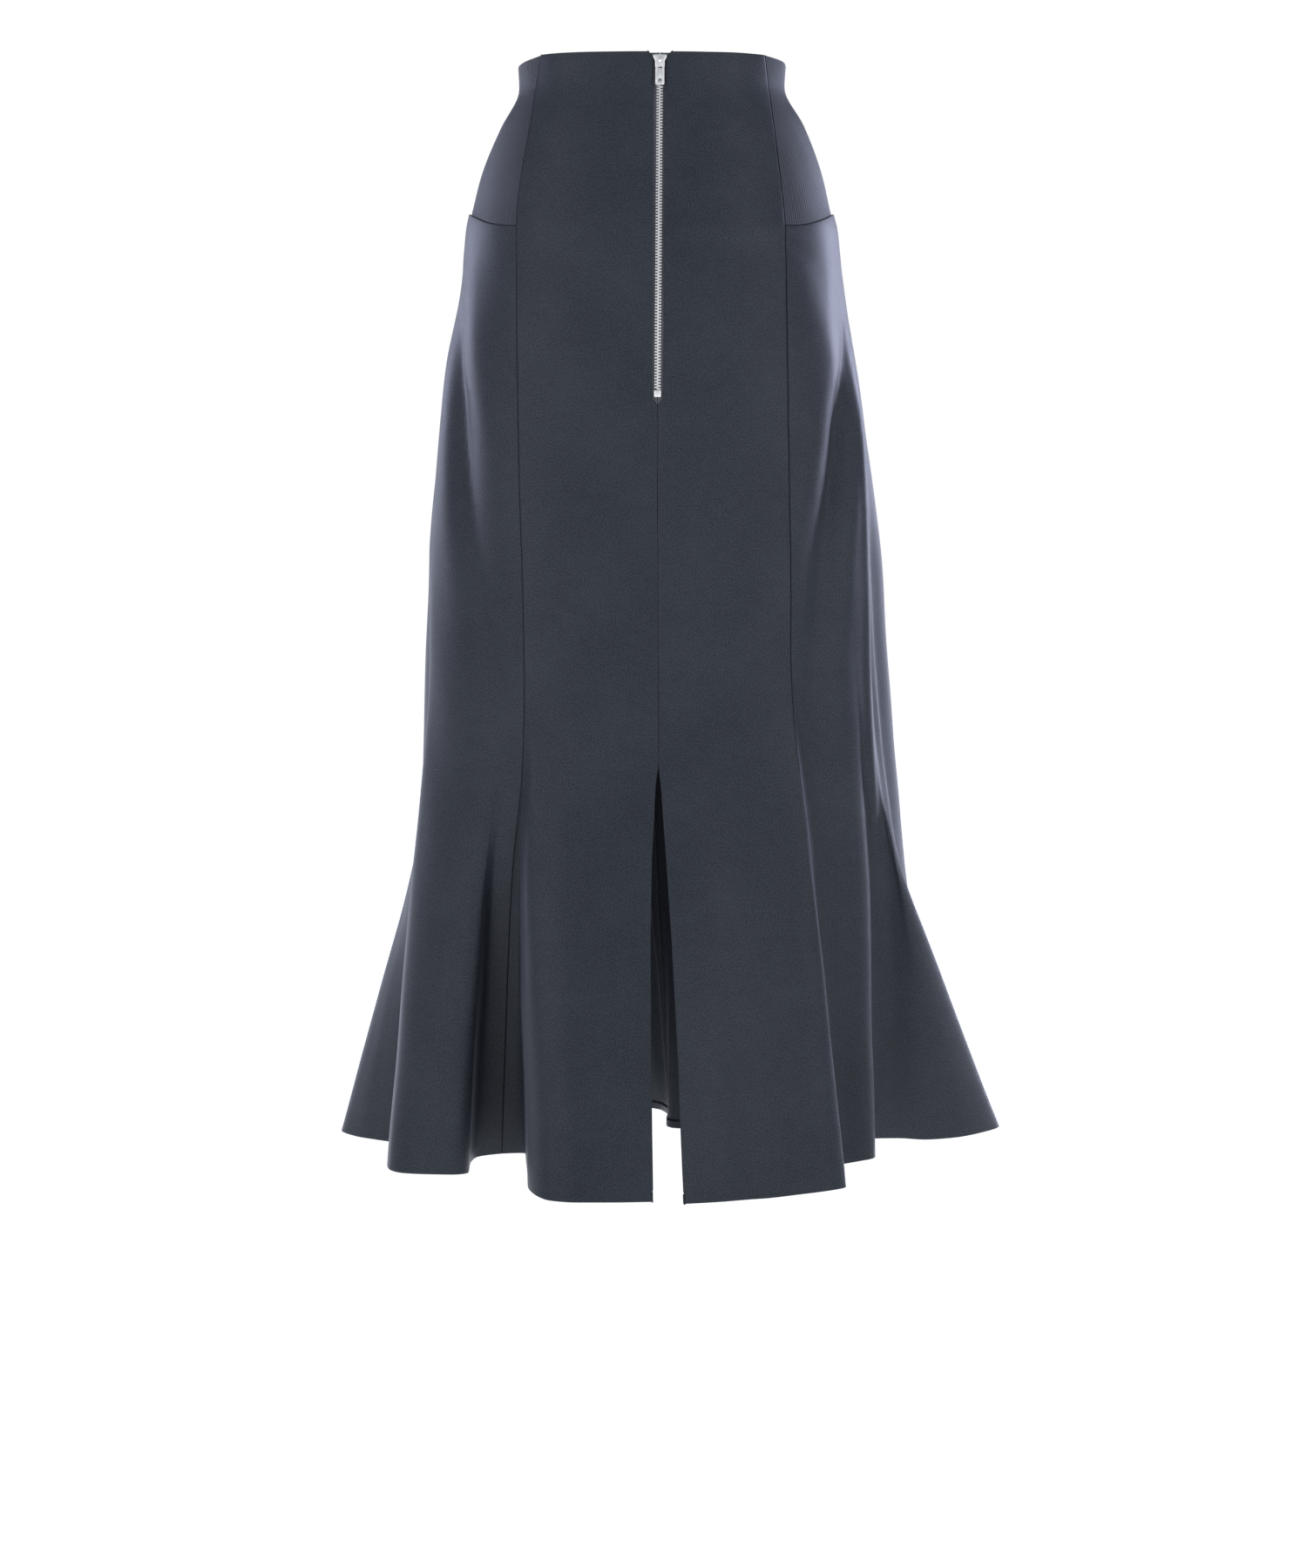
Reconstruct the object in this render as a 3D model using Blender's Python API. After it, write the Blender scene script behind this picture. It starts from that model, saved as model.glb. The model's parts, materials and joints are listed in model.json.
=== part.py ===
"""Mermaid skirt: a high-waisted midi skirt of dark stretch cloth that flares from the knee into a fishtail.

Units are metres, with +Z up. The origin is the centre of the waist rim, the zip faces -Y, and +X is the
wearer's left. Every cloth piece is a wall between two grids that follow one skirt surface, so neighbours meet
along shared seams.
"""

import math

import bmesh
import bpy
import numpy as np
from mathutils import Matrix, Vector

MM = 0.001

# Driving dimensions.
WALL = 1.5 * MM
SEAM_GAP = 0.3 * MM
COLUMN_STEP = 18 * MM  # widest stretch of hem between two columns of a panel's grid
HIP_SEAM = -130 * MM  # level of the seam between rib yoke and side panel, where it meets the princess seams
HIP_SEAM_RISE = 15 * MM  # how much higher that seam runs at the sides
HIP_SEAM_TOP = -300 * MM  # level at which rows run flat again below the risen hip seam
HIP_STEP = 2.2 * MM  # how far the side panel's turned top edge stands out over the knit
HIP_STEP_FADE = 30 * MM
LIFT_START = -500 * MM  # below this level rows bend up towards the lifted parts of the hem
LIFT_POWER = 1.6  # how much of that bend comes near the hem
FOLD_SOFTNESS = 18 * MM  # length over which a fold eases away from the straight skirt
HEM = -846.5 * MM
DIRECTION_STEP = 0.5 * MM  # between the points that a direction on the surface is worked out from
SHARP_ANGLE = 40  # degrees

# Horizontal sections of the skirt before its hem folds: half sizes from the axis, and the power of the
# rounded outline.
SECTIONS = (  # z, left, right, front, back, power
    (0, 104.0, 101.5, 80, 75, 2.75),
    (-20, 103.2, 100.2, 82, 78, 2.75),
    (-50, 117.0, 115.0, 88, 85, 2.70),
    (-85, 130.7, 128.0, 94, 95, 2.60),
    (-115, 138.5, 135.5, 99, 104, 2.50),
    (-128, 141.8, 139.5, 101, 108, 2.50),
    (-150, 144.5, 142.5, 103, 112, 2.50),
    (-190, 151.0, 148.5, 105, 118, 2.65),
    (-230, 158.0, 155.5, 106, 120, 2.70),
    (-270, 162.7, 162.5, 107, 119, 2.65),
    (-330, 168.5, 170.0, 108, 115, 2.55),
    (-390, 172.0, 175.5, 109, 111, 2.40),
    (-450, 174.5, 179.0, 110, 108, 2.40),
    (-510, 176.0, 183.5, 112, 107, 2.40),
    (-570, 177.5, 189.0, 115, 108, 2.40),
    (-640, 179.0, 193.0, 118, 110, 2.40),
    (-860, 179.0, 193.0, 118, 110, 2.40),
)

# The two edges down the centre front: open round the zip, meeting below it, and apart again down the walking
# slit.
FRONT_EDGES = (  # z, right x, left x
    (0, 13.5, -3.5),
    (-5, 8.9, 0.3),
    (-14, 8.7, 0.1),
    (-261, 7.15, -1.35),
    (-265, 3.15, 2.85),
    (-535, 3.65, 3.35),
    (-570, 6.2, 1.2),
    (-600, 9.0, -1.0),
    (-660, 13.0, -2.0),
    (-750, 17.5, -1.6),
    (-860, 22.0, 0.0),
)

# The other seams: X of the front princess seams, and angles, counted from the +X side towards the back, of
# the back princess seams.
SEAMS = (  # z, princess_right, princess_left, back_right, back_left
    (0, 84.0, -84.5, 40, 140),
    (-50, 90.0, -92.0, 44, 136),
    (-130, 98.5, -102.5, 48, 132),
    (-200, 99.5, -102.0, 50, 130),
    (-300, 101.0, -100.0, 52, 128),
    (-400, 103.0, -97.5, 53, 127),
    (-460, 104.0, -96.5, 54, 126),
    (-535, 106.0, -97.5, 54, 126),
    (-600, 108.0, -102.0, 54, 126),
    (-660, 110.0, -104.0, 54, 126),
    (-860, 113.0, -106.0, 54, 126),
)
CENTRE_BACK = 90  # degrees

# The knit rim sags between the panels: its depth for the right and the left yoke, by their place in the order
# of panels, counted from 0 round the back.
RIM_DIPS = {1: 2.2 * MM, 4: 4.0 * MM}
RIM_DIP_POWER = 0.6
RIM_DIP_REACH = 40 * MM

# The hem, once round from the slit's right edge over the back to its left edge. Share is how far across its
# panel a point's thread starts at the knee, and start is the level where it leaves the straight skirt.
HEM_FOLDS = (  # seam, x, y, lift, share, start
    ("centre_right", 22, -195, 0, 0.00, -540),
    ("", 48, -184, 0, 0.22, -540),
    ("", 78, -166, 0, 0.48, -540),
    ("", 108, -156, 2, 0.74, -530),
    ("", 130, -149, 4, 0.92, -515),
    ("princess_right", 141, -137, 5, 0.00, -505),
    ("", 140, -100, 8, 0.010, -515),
    ("", 136, -66, 9, 0.020, -525),
    ("", 137, -50, 10, 0.032, -530),
    ("", 149, -46, 12, 0.09, -520),
    ("", 161, -46, 14, 0.155, -508),
    ("", 168, -37, 15, 0.195, -500),
    ("", 167, -12, 17, 0.208, -510),
    ("", 162, 20, 19, 0.218, -530),
    ("", 163, 38, 20, 0.232, -545),
    ("", 176, 45, 20, 0.255, -555),
    ("", 190, 46, 20, 0.275, -560),
    ("", 210, 45, 19, 0.29, -570),
    ("", 232, 48, 20, 0.305, -588),
    ("", 252, 59, 22, 0.32, -598),
    ("", 272, 88, 25, 0.345, -606),
    ("", 248, 118, 27, 0.45, -640),
    ("", 216, 128, 28, 0.58, -650),
    ("", 198, 142, 30, 0.76, -600),
    ("back_right", 195, 170, 31, 0.00, -560),
    ("", 190, 200, 31, 0.10, -540),
    ("", 168, 213, 30, 0.24, -530),
    ("", 132, 202, 30, 0.38, -530),
    ("", 94, 166, 28, 0.51, -560),
    ("", 62, 126, 24, 0.63, -600),
    ("", 38, 104, 22, 0.74, -600),
    ("", 18, 100, 22, 0.84, -600),
    ("", 11.5, 108, 23, 0.91, -590),
    ("centre_back", 14, 140, 26, 0.00, -560),
    ("", 7, 172, 29, 0.10, -540),
    ("", -10, 186, 30, 0.20, -530),
    ("", -32, 191, 30, 0.28, -530),
    ("", -56, 187, 30, 0.37, -530),
    ("", -80, 165, 29, 0.48, -545),
    ("", -96, 142, 28, 0.58, -570),
    ("", -113, 152, 28, 0.68, -560),
    ("", -130, 184, 29, 0.78, -540),
    ("", -153, 203, 29, 0.87, -530),
    ("", -178, 190, 28, 0.94, -540),
    ("back_left", -192, 158, 26, 0.00, -560),
    ("", -207, 132, 25, 0.15, -600),
    ("", -229, 112, 24, 0.28, -590),
    ("", -245.5, 85, 22, 0.38, -585),
    ("", -233, 62, 20, 0.43, -585),
    ("", -214, 44, 19, 0.47, -570),
    ("", -196, 28, 18, 0.50, -550),
    ("", -188, 0, 16, 0.53, -530),
    ("", -193, -25, 13, 0.57, -510),
    ("", -200.5, -48, 10, 0.61, -490),
    ("", -198, -64, 9, 0.635, -490),
    ("", -188, -77, 8, 0.68, -495),
    ("", -170, -85, 8, 0.77, -505),
    ("", -148, -88, 8, 0.88, -525),
    ("", -138, -77, 8, 0.92, -540),
    ("", -138, -52, 11, 0.938, -548),
    ("", -134, -30, 14, 0.955, -552),
    ("princess_left", -115, -24, 16, 0.00, -550),
    ("", -98, -29, 17, 0.016, -545),
    ("", -96, -60, 14, 0.028, -545),
    ("", -93.5, -110, 10, 0.046, -545),
    ("", -92, -150, 6, 0.068, -545),
    ("", -87, -166, 3, 0.09, -545),
    ("", -76, -180, 0.5, 0.16, -545),
    ("", -56, -187, 0, 0.40, -540),
    ("", -28, -187, 0, 0.70, -540),
    ("centre_left", 0, -184, 0, 1.00, -540),
)

# Soft troughs in the cloth, each along a path. Angles are counted from the +X side towards the back.
CREASES = {  # (z, angle, depth) along each path
    "hip_right": ((-150, -8, 0), (-173, -14, 2), (-208, -18, 4), (-228, -21, 6), (-247, -25, 9),
                  (-267, -29, 12), (-287, -32, 14), (-324, -37, 14), (-360, -42, 12), (-404, -46, 9),
                  (-470, -50, 6), (-550, -51, 3), (-620, -51, 0)),
    "hip_left": ((-160, 184, 0), (-190, 190, 2), (-214, 196, 5), (-240, 204, 9), (-260, 209, 12),
                 (-280, 213, 13), (-324, 220, 13), (-360, 225, 11), (-410, 230, 8), (-480, 233, 5),
                 (-560, 235, 2), (-620, 236, 0)),
    "side_fold_right": ((-240, -4, 0), (-320, -7, 5), (-400, -9, 8), (-500, -10, 9), (-580, -11, 8),
                        (-660, -11, 0)),
    "side_fold_left": ((-370, 186, 0), (-450, 187, 4), (-550, 188, 6), (-640, 188, 0)),
    "seat_right": ((-230, 72, 0), (-320, 66, 7), (-430, 60, 9), (-530, 58, 5), (-610, 57, 0)),
    "seat_left": ((-250, 104, 0), (-350, 113, 8), (-460, 120, 8), (-550, 123, 4), (-620, 124, 0)),
    "side_back_right": ((-260, 22, 0), (-360, 26, 5), (-500, 30, 7), (-630, 31, 0)),
    "side_back_left": ((-240, 158, 0), (-340, 155, 6), (-470, 151, 6), (-600, 150, 0)),
}
CREASE_WIDTHS = {"hip_right": (16, 12), "hip_left": (14, 17)}  # degrees, below and above the path's angle
CREASE_WIDTH = (11, 11)
CREASE_ROUNDING = 0.15  # share of the width over which a crease's bottom is rounded

# Rows of the cloth's grids, in mm from the rim: yoke, hip to slit, and fishtail.
LEVELS = [0, -14, -35, -67, -99, -130]
LEVELS += [-160, -193, -227, -261, -296, -331, -366, -400, -434, -468, -501, -535]
LEVELS += [-564, -593, -623, -654, -686, -718, -750, -782, -814, -846.5]
FRONT_LEVELS = sorted(LEVELS + [-5, -265], reverse=True)  # with the ends of the zip's opening

# The zip, from its open top down.
ZIP_TOP = -3 * MM
ZIP_BOTTOM = -260.3 * MM
ZIP_SLANT = ((0, 4.8), (-265, 2.9))  # (z, x) of the zip's centre line, in mm
TAPE_TOP = -1 * MM
TAPE_BOTTOM = -268 * MM
TAPE_CLEARANCE = 0.5 * MM  # between the front panels' inner face and the tapes behind it
TAPE_WIDTH = 12 * MM
TAPE_THICKNESS = 1.0 * MM
CHAIN_WIDTH = 4.8 * MM
CHAIN_THICKNESS = 2.6 * MM
CHAIN_PROUD = 1.1 * MM  # how far the chain stands out past the cloth's face
STOP_SIZE = (5.3 * MM, 5.2 * MM, 2.9 * MM)  # width, height, thickness

# The slider, on its own axes: X across, Z up along the zip, -Y out of the cloth, with the tab's pivot at the
# origin.
SLIDER_LENGTH = 9.5 * MM
SLIDER_WIDTHS = (7.0 * MM, 10.5 * MM)  # bottom, top
PLATE_THICKNESS = 1.4 * MM
PLATE_PROUD = 0.35 * MM  # clearance between the cloth's face and the slider's plate
KEEL_WIDTH = 6.2 * MM
KEEL_DEPTH = 1.5 * MM  # how far the slider's keel reaches in past the cloth's face
KEEL_SETBACK = 0.2 * MM  # from each end of the plate
JOIN_OVERLAP = 0.5 * MM  # how far the slider's keel and bridge sink into its plate
PIVOT_HEIGHT = 1.3 * MM  # pivot's height over the plate
PIVOT_DROP = 4.6 * MM  # pivot's distance below the slider's top
BRIDGE_WIDTH = 2.0 * MM
BRIDGE_RADII = (1.35 * MM, 2.5 * MM)
BRIDGE_STEPS = 24  # once round
TAB_SIZE = (6.5 * MM, 19.5 * MM, 1.2 * MM)  # width, length, thickness
TAB_BAR = 1.5 * MM  # height of the tab's top bar, which turns in the bridge
TAB_SLOT = (3.7 * MM, 5.6 * MM)  # width, length
TAB_HOLE_RADIUS = 1.5 * MM
TAB_HOLE_RISE = 3.4 * MM  # the hole's centre above the tab's lower end
TAB_HOLE_STEPS = 20  # once round
TAB_CORNER = 0.6 * MM
TAB_SLOT_CORNER = 0.5 * MM
WELD = 0.01 * MM

FABRIC = ("crepe", (0.040, 0.046, 0.060, 1), 0.85, 0.0)
KNIT = ("rib_knit", (0.068, 0.074, 0.096, 1), 0.9, 0.0)
TAPE = ("tape", (0.070, 0.074, 0.090, 1), 0.8, 0.0)
METAL = ("zip_metal", (0.78, 0.78, 0.76, 1), 0.28, 1.0)


def smooth(xs, ys):
    """A smooth curve through a table's points that never swings past them; ys may hold several columns."""
    xs = np.asarray(xs, float)
    ys = np.asarray(ys, float).reshape(len(xs), -1)
    step = np.diff(xs)[:, None]
    chord = np.diff(ys, axis=0) / step
    before, after = chord[:-1], chord[1:]
    same_way = before * after > 0
    mean = 2 * before * after / np.where(same_way, before + after, 1)
    slope = np.vstack([chord[:1], np.where(same_way, mean, 0), chord[-1:]])

    def at(x):
        x = np.clip(np.asarray(x, float), xs[0], xs[-1])
        i = np.clip(np.searchsorted(xs, x, side="right") - 1, 0, len(xs) - 2)
        h = step[i, 0]
        t = ((x - xs[i]) / h)[..., None]
        h = h[..., None]
        return (
            (1 + 2 * t) * (1 - t) ** 2 * ys[i]
            + t * (1 - t) ** 2 * h * slope[i]
            + t * t * (3 - 2 * t) * ys[i + 1]
            + t * t * (t - 1) * h * slope[i + 1]
        )

    return at


def from_table(rows):
    """A smooth curve down a table in millimetres whose first column is z."""
    rows = np.array(rows, float)[::-1]
    return smooth(rows[:, 0] * MM, rows[:, 1:])


section_at = from_table(SECTIONS)
seam_at = from_table(SEAMS)
edge_z, *edge_x = np.array(FRONT_EDGES[::-1]).T * MM
crease_paths = {name: from_table(path) for name, path in CREASES.items()}

hem_names = [row[0] for row in HEM_FOLDS]
hem_rows = np.array([row[1:] for row in HEM_FOLDS], float)
hem_run = np.concatenate([[0], np.cumsum(np.hypot(*np.diff(hem_rows[:, :2], axis=0).T))]) * MM
SEAM_RUN = {name: hem_run[i] for i, name in enumerate(hem_names) if name}
SEAM_ORDER = list(SEAM_RUN)
hem_at = smooth(hem_run, hem_rows[:, [0, 1, 2, 4]] * MM)

# A running share that counts panels, so that 1.25 is a quarter of the way across the second one.
running_share = hem_rows[:, 3].copy()
running_share[[i for i, name in enumerate(hem_names) if name]] = 0
running_share += np.cumsum([bool(name) for name in hem_names]) - 1
share_at = smooth(hem_run, running_share)


def angle_at_x(x, z):
    """Angle, in radians, of the front point at this X: -180 degrees at the left side to 0 at the right."""
    left, right, _, _, power = np.moveaxis(section_at(z), -1, 0)
    half = np.where(x < 0, left, right) * MM
    across = np.clip(np.abs(x) / half, 0, 1) ** (power / 2)
    angle = -np.arccos(across)
    return np.where(x < 0, -math.pi - angle, angle)


def seam_angles(z):
    """Angle of each seam at level z, in SEAM_ORDER: from the right front edge round the back to the left."""
    centre_right, centre_left = (np.interp(z, edge_z, x) for x in edge_x)
    princess_right, princess_left, back_right, back_left = np.moveaxis(seam_at(z), -1, 0)
    right = [angle_at_x(x, z) for x in (centre_right, princess_right * MM)]
    left = [angle_at_x(x, z) + 2 * math.pi for x in (princess_left * MM, centre_left)]
    back = [np.radians(angle) for angle in (back_right, np.full_like(z, CENTRE_BACK), back_left)]
    return np.stack(right + back + left)


def angle_at(run, z):
    """Angle of the thread at this run round the hem, where it crosses level z of the straight skirt."""
    seams = seam_angles(z)
    share = share_at(run)[..., 0]
    panel = np.clip(np.floor(share).astype(int), 0, len(SEAM_ORDER) - 2)
    part = share - panel
    start = np.take_along_axis(seams, panel[None], 0)[0]
    end = np.take_along_axis(seams, panel[None] + 1, 0)[0]
    return start + part * (end - start)


def section_point(angle, z):
    """Point at this angle of the straight skirt's section, as X and Y, with its creases."""
    left, right, front, back, power = np.moveaxis(section_at(z), -1, 0)
    c, s = np.cos(angle), np.sin(angle)
    x = np.sign(c) * np.abs(c) ** (2 / power) * np.where(c < 0, left, right) * MM
    y = np.sign(s) * np.abs(s) ** (2 / power) * np.where(s < 0, front, back) * MM
    depth = np.zeros_like(x)
    for name, path in crease_paths.items():
        centre, deep = np.moveaxis(path(z), -1, 0)
        off = (np.degrees(angle) - centre + 180) % 360 - 180
        below, above = CREASE_WIDTHS.get(name, CREASE_WIDTH)
        away = np.hypot(off / np.where(off < 0, below, above), CREASE_ROUNDING) - CREASE_ROUNDING
        edge = math.hypot(1, CREASE_ROUNDING) - CREASE_ROUNDING
        depth += deep * MM * np.clip(1 - away / edge, 0, 1) ** 2
    inward = 1 - depth / np.hypot(x, y)
    return np.stack([x * inward, y * inward], -1)


def eased(below):
    """A ramp that is level above zero and grows steadily below it, with a soft start."""
    return FOLD_SOFTNESS * np.logaddexp(0, below / FOLD_SOFTNESS)


def side_share(run):
    """0 on the front and back panels, rising to 1 halfway across a side panel."""
    share = share_at(run)[..., 0]
    on_side = ((share >= 1) & (share <= 2)) | ((share >= 4) & (share <= 5))
    return np.where(on_side, np.sin(math.pi * share) ** 2, 0)


def rim_dip(run, level):
    """How far the stretchy rim of a yoke sags below the stiffer corners of the panels beside it."""
    share = share_at(run)[..., 0]
    dip = sum(
        depth * np.sin(math.pi * np.clip(share - panel, 0, 1)) ** RIM_DIP_POWER
        for panel, depth in RIM_DIPS.items()
    )
    return dip * np.clip(1 + level / RIM_DIP_REACH, 0, 1) ** 2


def skirt_points(run, level, step_out=False):
    """Points of the skirt's outer face, from run round the hem and nominal level, two arrays of one shape."""
    hem_x, hem_y, lift, start = np.moveaxis(hem_at(run), -1, 0)
    side = side_share(run)
    near_hip = np.interp(level, [HIP_SEAM_TOP, HIP_SEAM, 0], [0, 1, 0])
    rise = HIP_SEAM_RISE * side * near_hip ** 2 * (3 - 2 * near_hip)
    lifted = np.clip((LIFT_START - level) / (LIFT_START - HEM), 0, 1) ** LIFT_POWER
    z = level + rise + lift * lifted - rim_dip(run, level)
    straight = section_point(angle_at(run, z), z)
    hem_z = np.full_like(z, HEM) + lift
    base = section_point(angle_at(run, hem_z), hem_z)
    at_rim = eased(start)
    grown = (eased(start - level) - at_rim) / (eased(start - HEM) - at_rim)
    away = np.stack([hem_x, hem_y], -1) - base
    flat = straight + grown[..., None] * away
    if step_out:
        out = HIP_STEP * side * np.exp((level - HIP_SEAM) / HIP_STEP_FADE)
        flat = flat * (1 + out / np.linalg.norm(flat, axis=-1))[..., None]
    return np.concatenate([flat, z[..., None]], -1)


def unit(vectors):
    return vectors / np.linalg.norm(vectors, axis=-1, keepdims=True)


def skirt_frame(run, level, step_out=False):
    """Outer points with the unit direction along the hem and the unit outward normal at each."""
    ahead = skirt_points(np.minimum(run + DIRECTION_STEP, hem_run[-1]), level, step_out)
    behind = skirt_points(np.maximum(run - DIRECTION_STEP, 0), level, step_out)
    above = skirt_points(run, np.minimum(level + DIRECTION_STEP, 0), step_out)
    below = skirt_points(run, np.maximum(level - DIRECTION_STEP, HEM), step_out)
    along = unit(ahead - behind)
    outward = unit(np.cross(along, above - below))
    return skirt_points(run, level, step_out), along, outward


def panel_columns(first_seam, last_seam):
    """Runs of the columns between two seams: each listed hem point, and even steps between them."""
    ends = hem_run[(hem_run >= SEAM_RUN[first_seam]) & (hem_run <= SEAM_RUN[last_seam])]
    columns = [ends[0]]
    for low, high in zip(ends[:-1], ends[1:]):
        count = max(1, round((high - low) / COLUMN_STEP))
        columns.extend(low + (high - low) * np.arange(1, count + 1) / count)
    return np.array(columns)


def make_material(slot, color, roughness, metallic):
    material = bpy.data.materials.get(slot) or bpy.data.materials.new(slot)
    material.use_nodes = True
    shader = material.node_tree.nodes["Principled BSDF"]
    shader.inputs["Base Color"].default_value = color
    shader.inputs["Roughness"].default_value = roughness
    shader.inputs["Metallic"].default_value = metallic
    return material


def add_object(name, mesh, look):
    """Turns a bmesh into an object of the skirt's collection."""
    bmesh.ops.recalc_face_normals(mesh, faces=mesh.faces)
    data = bpy.data.meshes.new(name)
    mesh.to_mesh(data)
    mesh.free()
    data.shade_smooth()
    data.set_sharp_from_angle(angle=math.radians(SHARP_ANGLE))
    data.materials.append(make_material(*look))
    obj = bpy.data.objects.new(name, data)
    skirt.objects.link(obj)
    return obj


def wall_between(name, outer, inner, look):
    """A closed wall whose two faces are grids of points, with a rim bridged between them all round."""
    rows, columns = outer.shape[:2]
    mesh = bmesh.new()
    for points in (outer, inner):
        grid = bmesh.ops.create_grid(mesh, x_segments=columns - 1, y_segments=rows - 1, size=1.0)
        for vert in grid["verts"]:
            column = round((vert.co.x + 1) / 2 * (columns - 1))
            row = round((1 - vert.co.y) / 2 * (rows - 1))
            vert.co = points[row, column]
    rims = [edge for edge in mesh.edges if edge.is_boundary]
    bmesh.ops.bridge_loops(mesh, edges=rims)
    return add_object(name, mesh, look)


def cloth_panel(name, first_seam, last_seam, levels, look, step_out=False):
    """One cut piece between two seams, a row at each level in mm, half a seam gap short of each neighbour."""
    runs, levels = np.meshgrid(panel_columns(first_seam, last_seam), np.array(levels) * MM)
    outer, along, outward = skirt_frame(runs, levels, step_out)
    half_gap = SEAM_GAP / 2
    shift = np.zeros_like(outer)
    shift[:, 0] += along[:, 0] * half_gap
    shift[:, -1] -= along[:, -1] * half_gap
    if step_out:
        shift[0, :, 2] -= half_gap
    elif levels[-1, 0] > HEM:
        shift[-1, :, 2] += half_gap
    inner = outer - outward * WALL
    return wall_between(name, outer + shift, inner + shift, look)


def front_points(x, z, depth):
    """Points at X and Z on the front, this far in from the outer face."""
    angle = angle_at_x(x, z)
    flat = section_point(angle, z)
    outer = np.concatenate([flat, z[..., None]], -1)
    beside = section_point(angle_at_x(x + DIRECTION_STEP, z), z)
    across = np.concatenate([beside, z[..., None]], -1) - outer
    lower = z - DIRECTION_STEP
    down = np.concatenate([section_point(angle_at_x(x, lower), lower), lower[..., None]], -1) - outer
    return outer - unit(np.cross(down, across)) * depth


def zip_x(z):
    heights, places = np.array(ZIP_SLANT[::-1]).T * MM
    return np.interp(z, heights, places)


def zip_strip(name, left, right, top, bottom, outer_depth, thickness, column_count, look):
    """A strip down the zip's centre line, from left to right of it, in the rows of the front panels."""
    rows = [top] + [level * MM for level in FRONT_LEVELS if bottom < level * MM < top] + [bottom]
    across, heights = np.meshgrid(np.linspace(left, right, column_count), rows)
    x = zip_x(heights) + across
    outer = front_points(x, heights, outer_depth)
    inner = front_points(x, heights, outer_depth + thickness)
    return wall_between(name, outer, inner, look)


def box_mesh(mesh, centre, size):
    """Adds a box to a bmesh and returns its vertices."""
    matrix = Matrix.Translation(centre) @ Matrix.Diagonal((*size, 1))
    return bmesh.ops.create_cube(mesh, size=1.0, matrix=matrix)["verts"]


def join_solids(target, tool):
    """Unites a helper object with the target and removes the helper."""
    union = target.modifiers.new("union", "BOOLEAN")
    union.operation = "UNION"
    union.object = tool
    graph = bpy.context.evaluated_depsgraph_get()
    united = bpy.data.meshes.new_from_object(target.evaluated_get(graph))
    target.modifiers.remove(union)
    target.data = united
    bpy.data.objects.remove(tool)


def slider_frame():
    """An empty at the tab's pivot, leaning with the skirt's front, that carries the slider and the tab."""
    pivot_z = ZIP_TOP - PIVOT_DROP
    proud = PLATE_PROUD + PLATE_THICKNESS + PIVOT_HEIGHT
    z = np.array([pivot_z, pivot_z - SLIDER_LENGTH])
    x = zip_x(z)
    pivot = front_points(x, z, -proud)[0]
    top, lower = front_points(x, z, 0)
    lean = math.atan2(top[1] - lower[1], top[2] - lower[2])
    frame = bpy.data.objects.new("slider_frame", None)
    frame.location = pivot
    frame.rotation_euler = (-lean, 0, 0)
    skirt.objects.link(frame)
    return frame


def zip_slider(frame):
    """The slider: a wedge plate, a keel between the tapes and the bridge that holds the tab."""
    low, high = -(SLIDER_LENGTH - PIVOT_DROP), PIVOT_DROP
    middle = (low + high) / 2
    plate_inside = PIVOT_HEIGHT + PLATE_THICKNESS
    bottom_width, top_width = SLIDER_WIDTHS
    mesh = bmesh.new()
    plate_centre = Vector((0, PIVOT_HEIGHT + PLATE_THICKNESS / 2, middle))
    for vert in box_mesh(mesh, plate_centre, (1, PLATE_THICKNESS, SLIDER_LENGTH)):
        vert.co.x *= top_width if vert.co.z > middle else bottom_width
    slider = add_object("zip_slider", mesh, METAL)

    keel_depth = PLATE_PROUD + KEEL_DEPTH + JOIN_OVERLAP
    keel_centre = Vector((0, plate_inside - JOIN_OVERLAP + keel_depth / 2, middle))
    mesh = bmesh.new()
    box_mesh(mesh, keel_centre, (KEEL_WIDTH, keel_depth, SLIDER_LENGTH - 2 * KEEL_SETBACK))
    join_solids(slider, add_object("keel", mesh, METAL))

    inner, outer = BRIDGE_RADII
    mesh = bmesh.new()
    profile = [(inner, -1), (outer, -1), (outer, 1), (inner, 1)]
    ring = [mesh.verts.new((side * BRIDGE_WIDTH / 2, 0, radius)) for radius, side in profile]
    edges = [mesh.edges.new((ring[i], ring[(i + 1) % 4])) for i in range(4)]
    bmesh.ops.spin(
        mesh, geom=ring + edges, axis=(1, 0, 0), cent=(0, 0, 0), steps=BRIDGE_STEPS, angle=2 * math.pi,
        use_merge=True,
    )
    bridge = add_object("bridge", mesh, METAL)
    mesh = bmesh.new()
    reach = 2 * outer
    box_mesh(mesh, Vector((0, PIVOT_HEIGHT + JOIN_OVERLAP + reach / 2, 0)), (reach, reach, 2 * reach))
    trim = add_object("bridge_trim", mesh, METAL)
    cut = bridge.modifiers.new("cut", "BOOLEAN")
    cut.operation = "DIFFERENCE"
    cut.object = trim
    graph = bpy.context.evaluated_depsgraph_get()
    half_ring = bpy.data.meshes.new_from_object(bridge.evaluated_get(graph))
    bridge.modifiers.remove(cut)
    bridge.data = half_ring
    bpy.data.objects.remove(trim)
    join_solids(slider, bridge)
    slider.parent = frame
    return slider


def outline_spline(curve, points):
    """Adds a closed outline to a flat curve."""
    spline = curve.splines.new("POLY")
    spline.points.add(len(points) - 1)
    for point, (x, y) in zip(spline.points, points):
        point.co = (x, y, 0, 1)
    spline.use_cyclic_u = True


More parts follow.
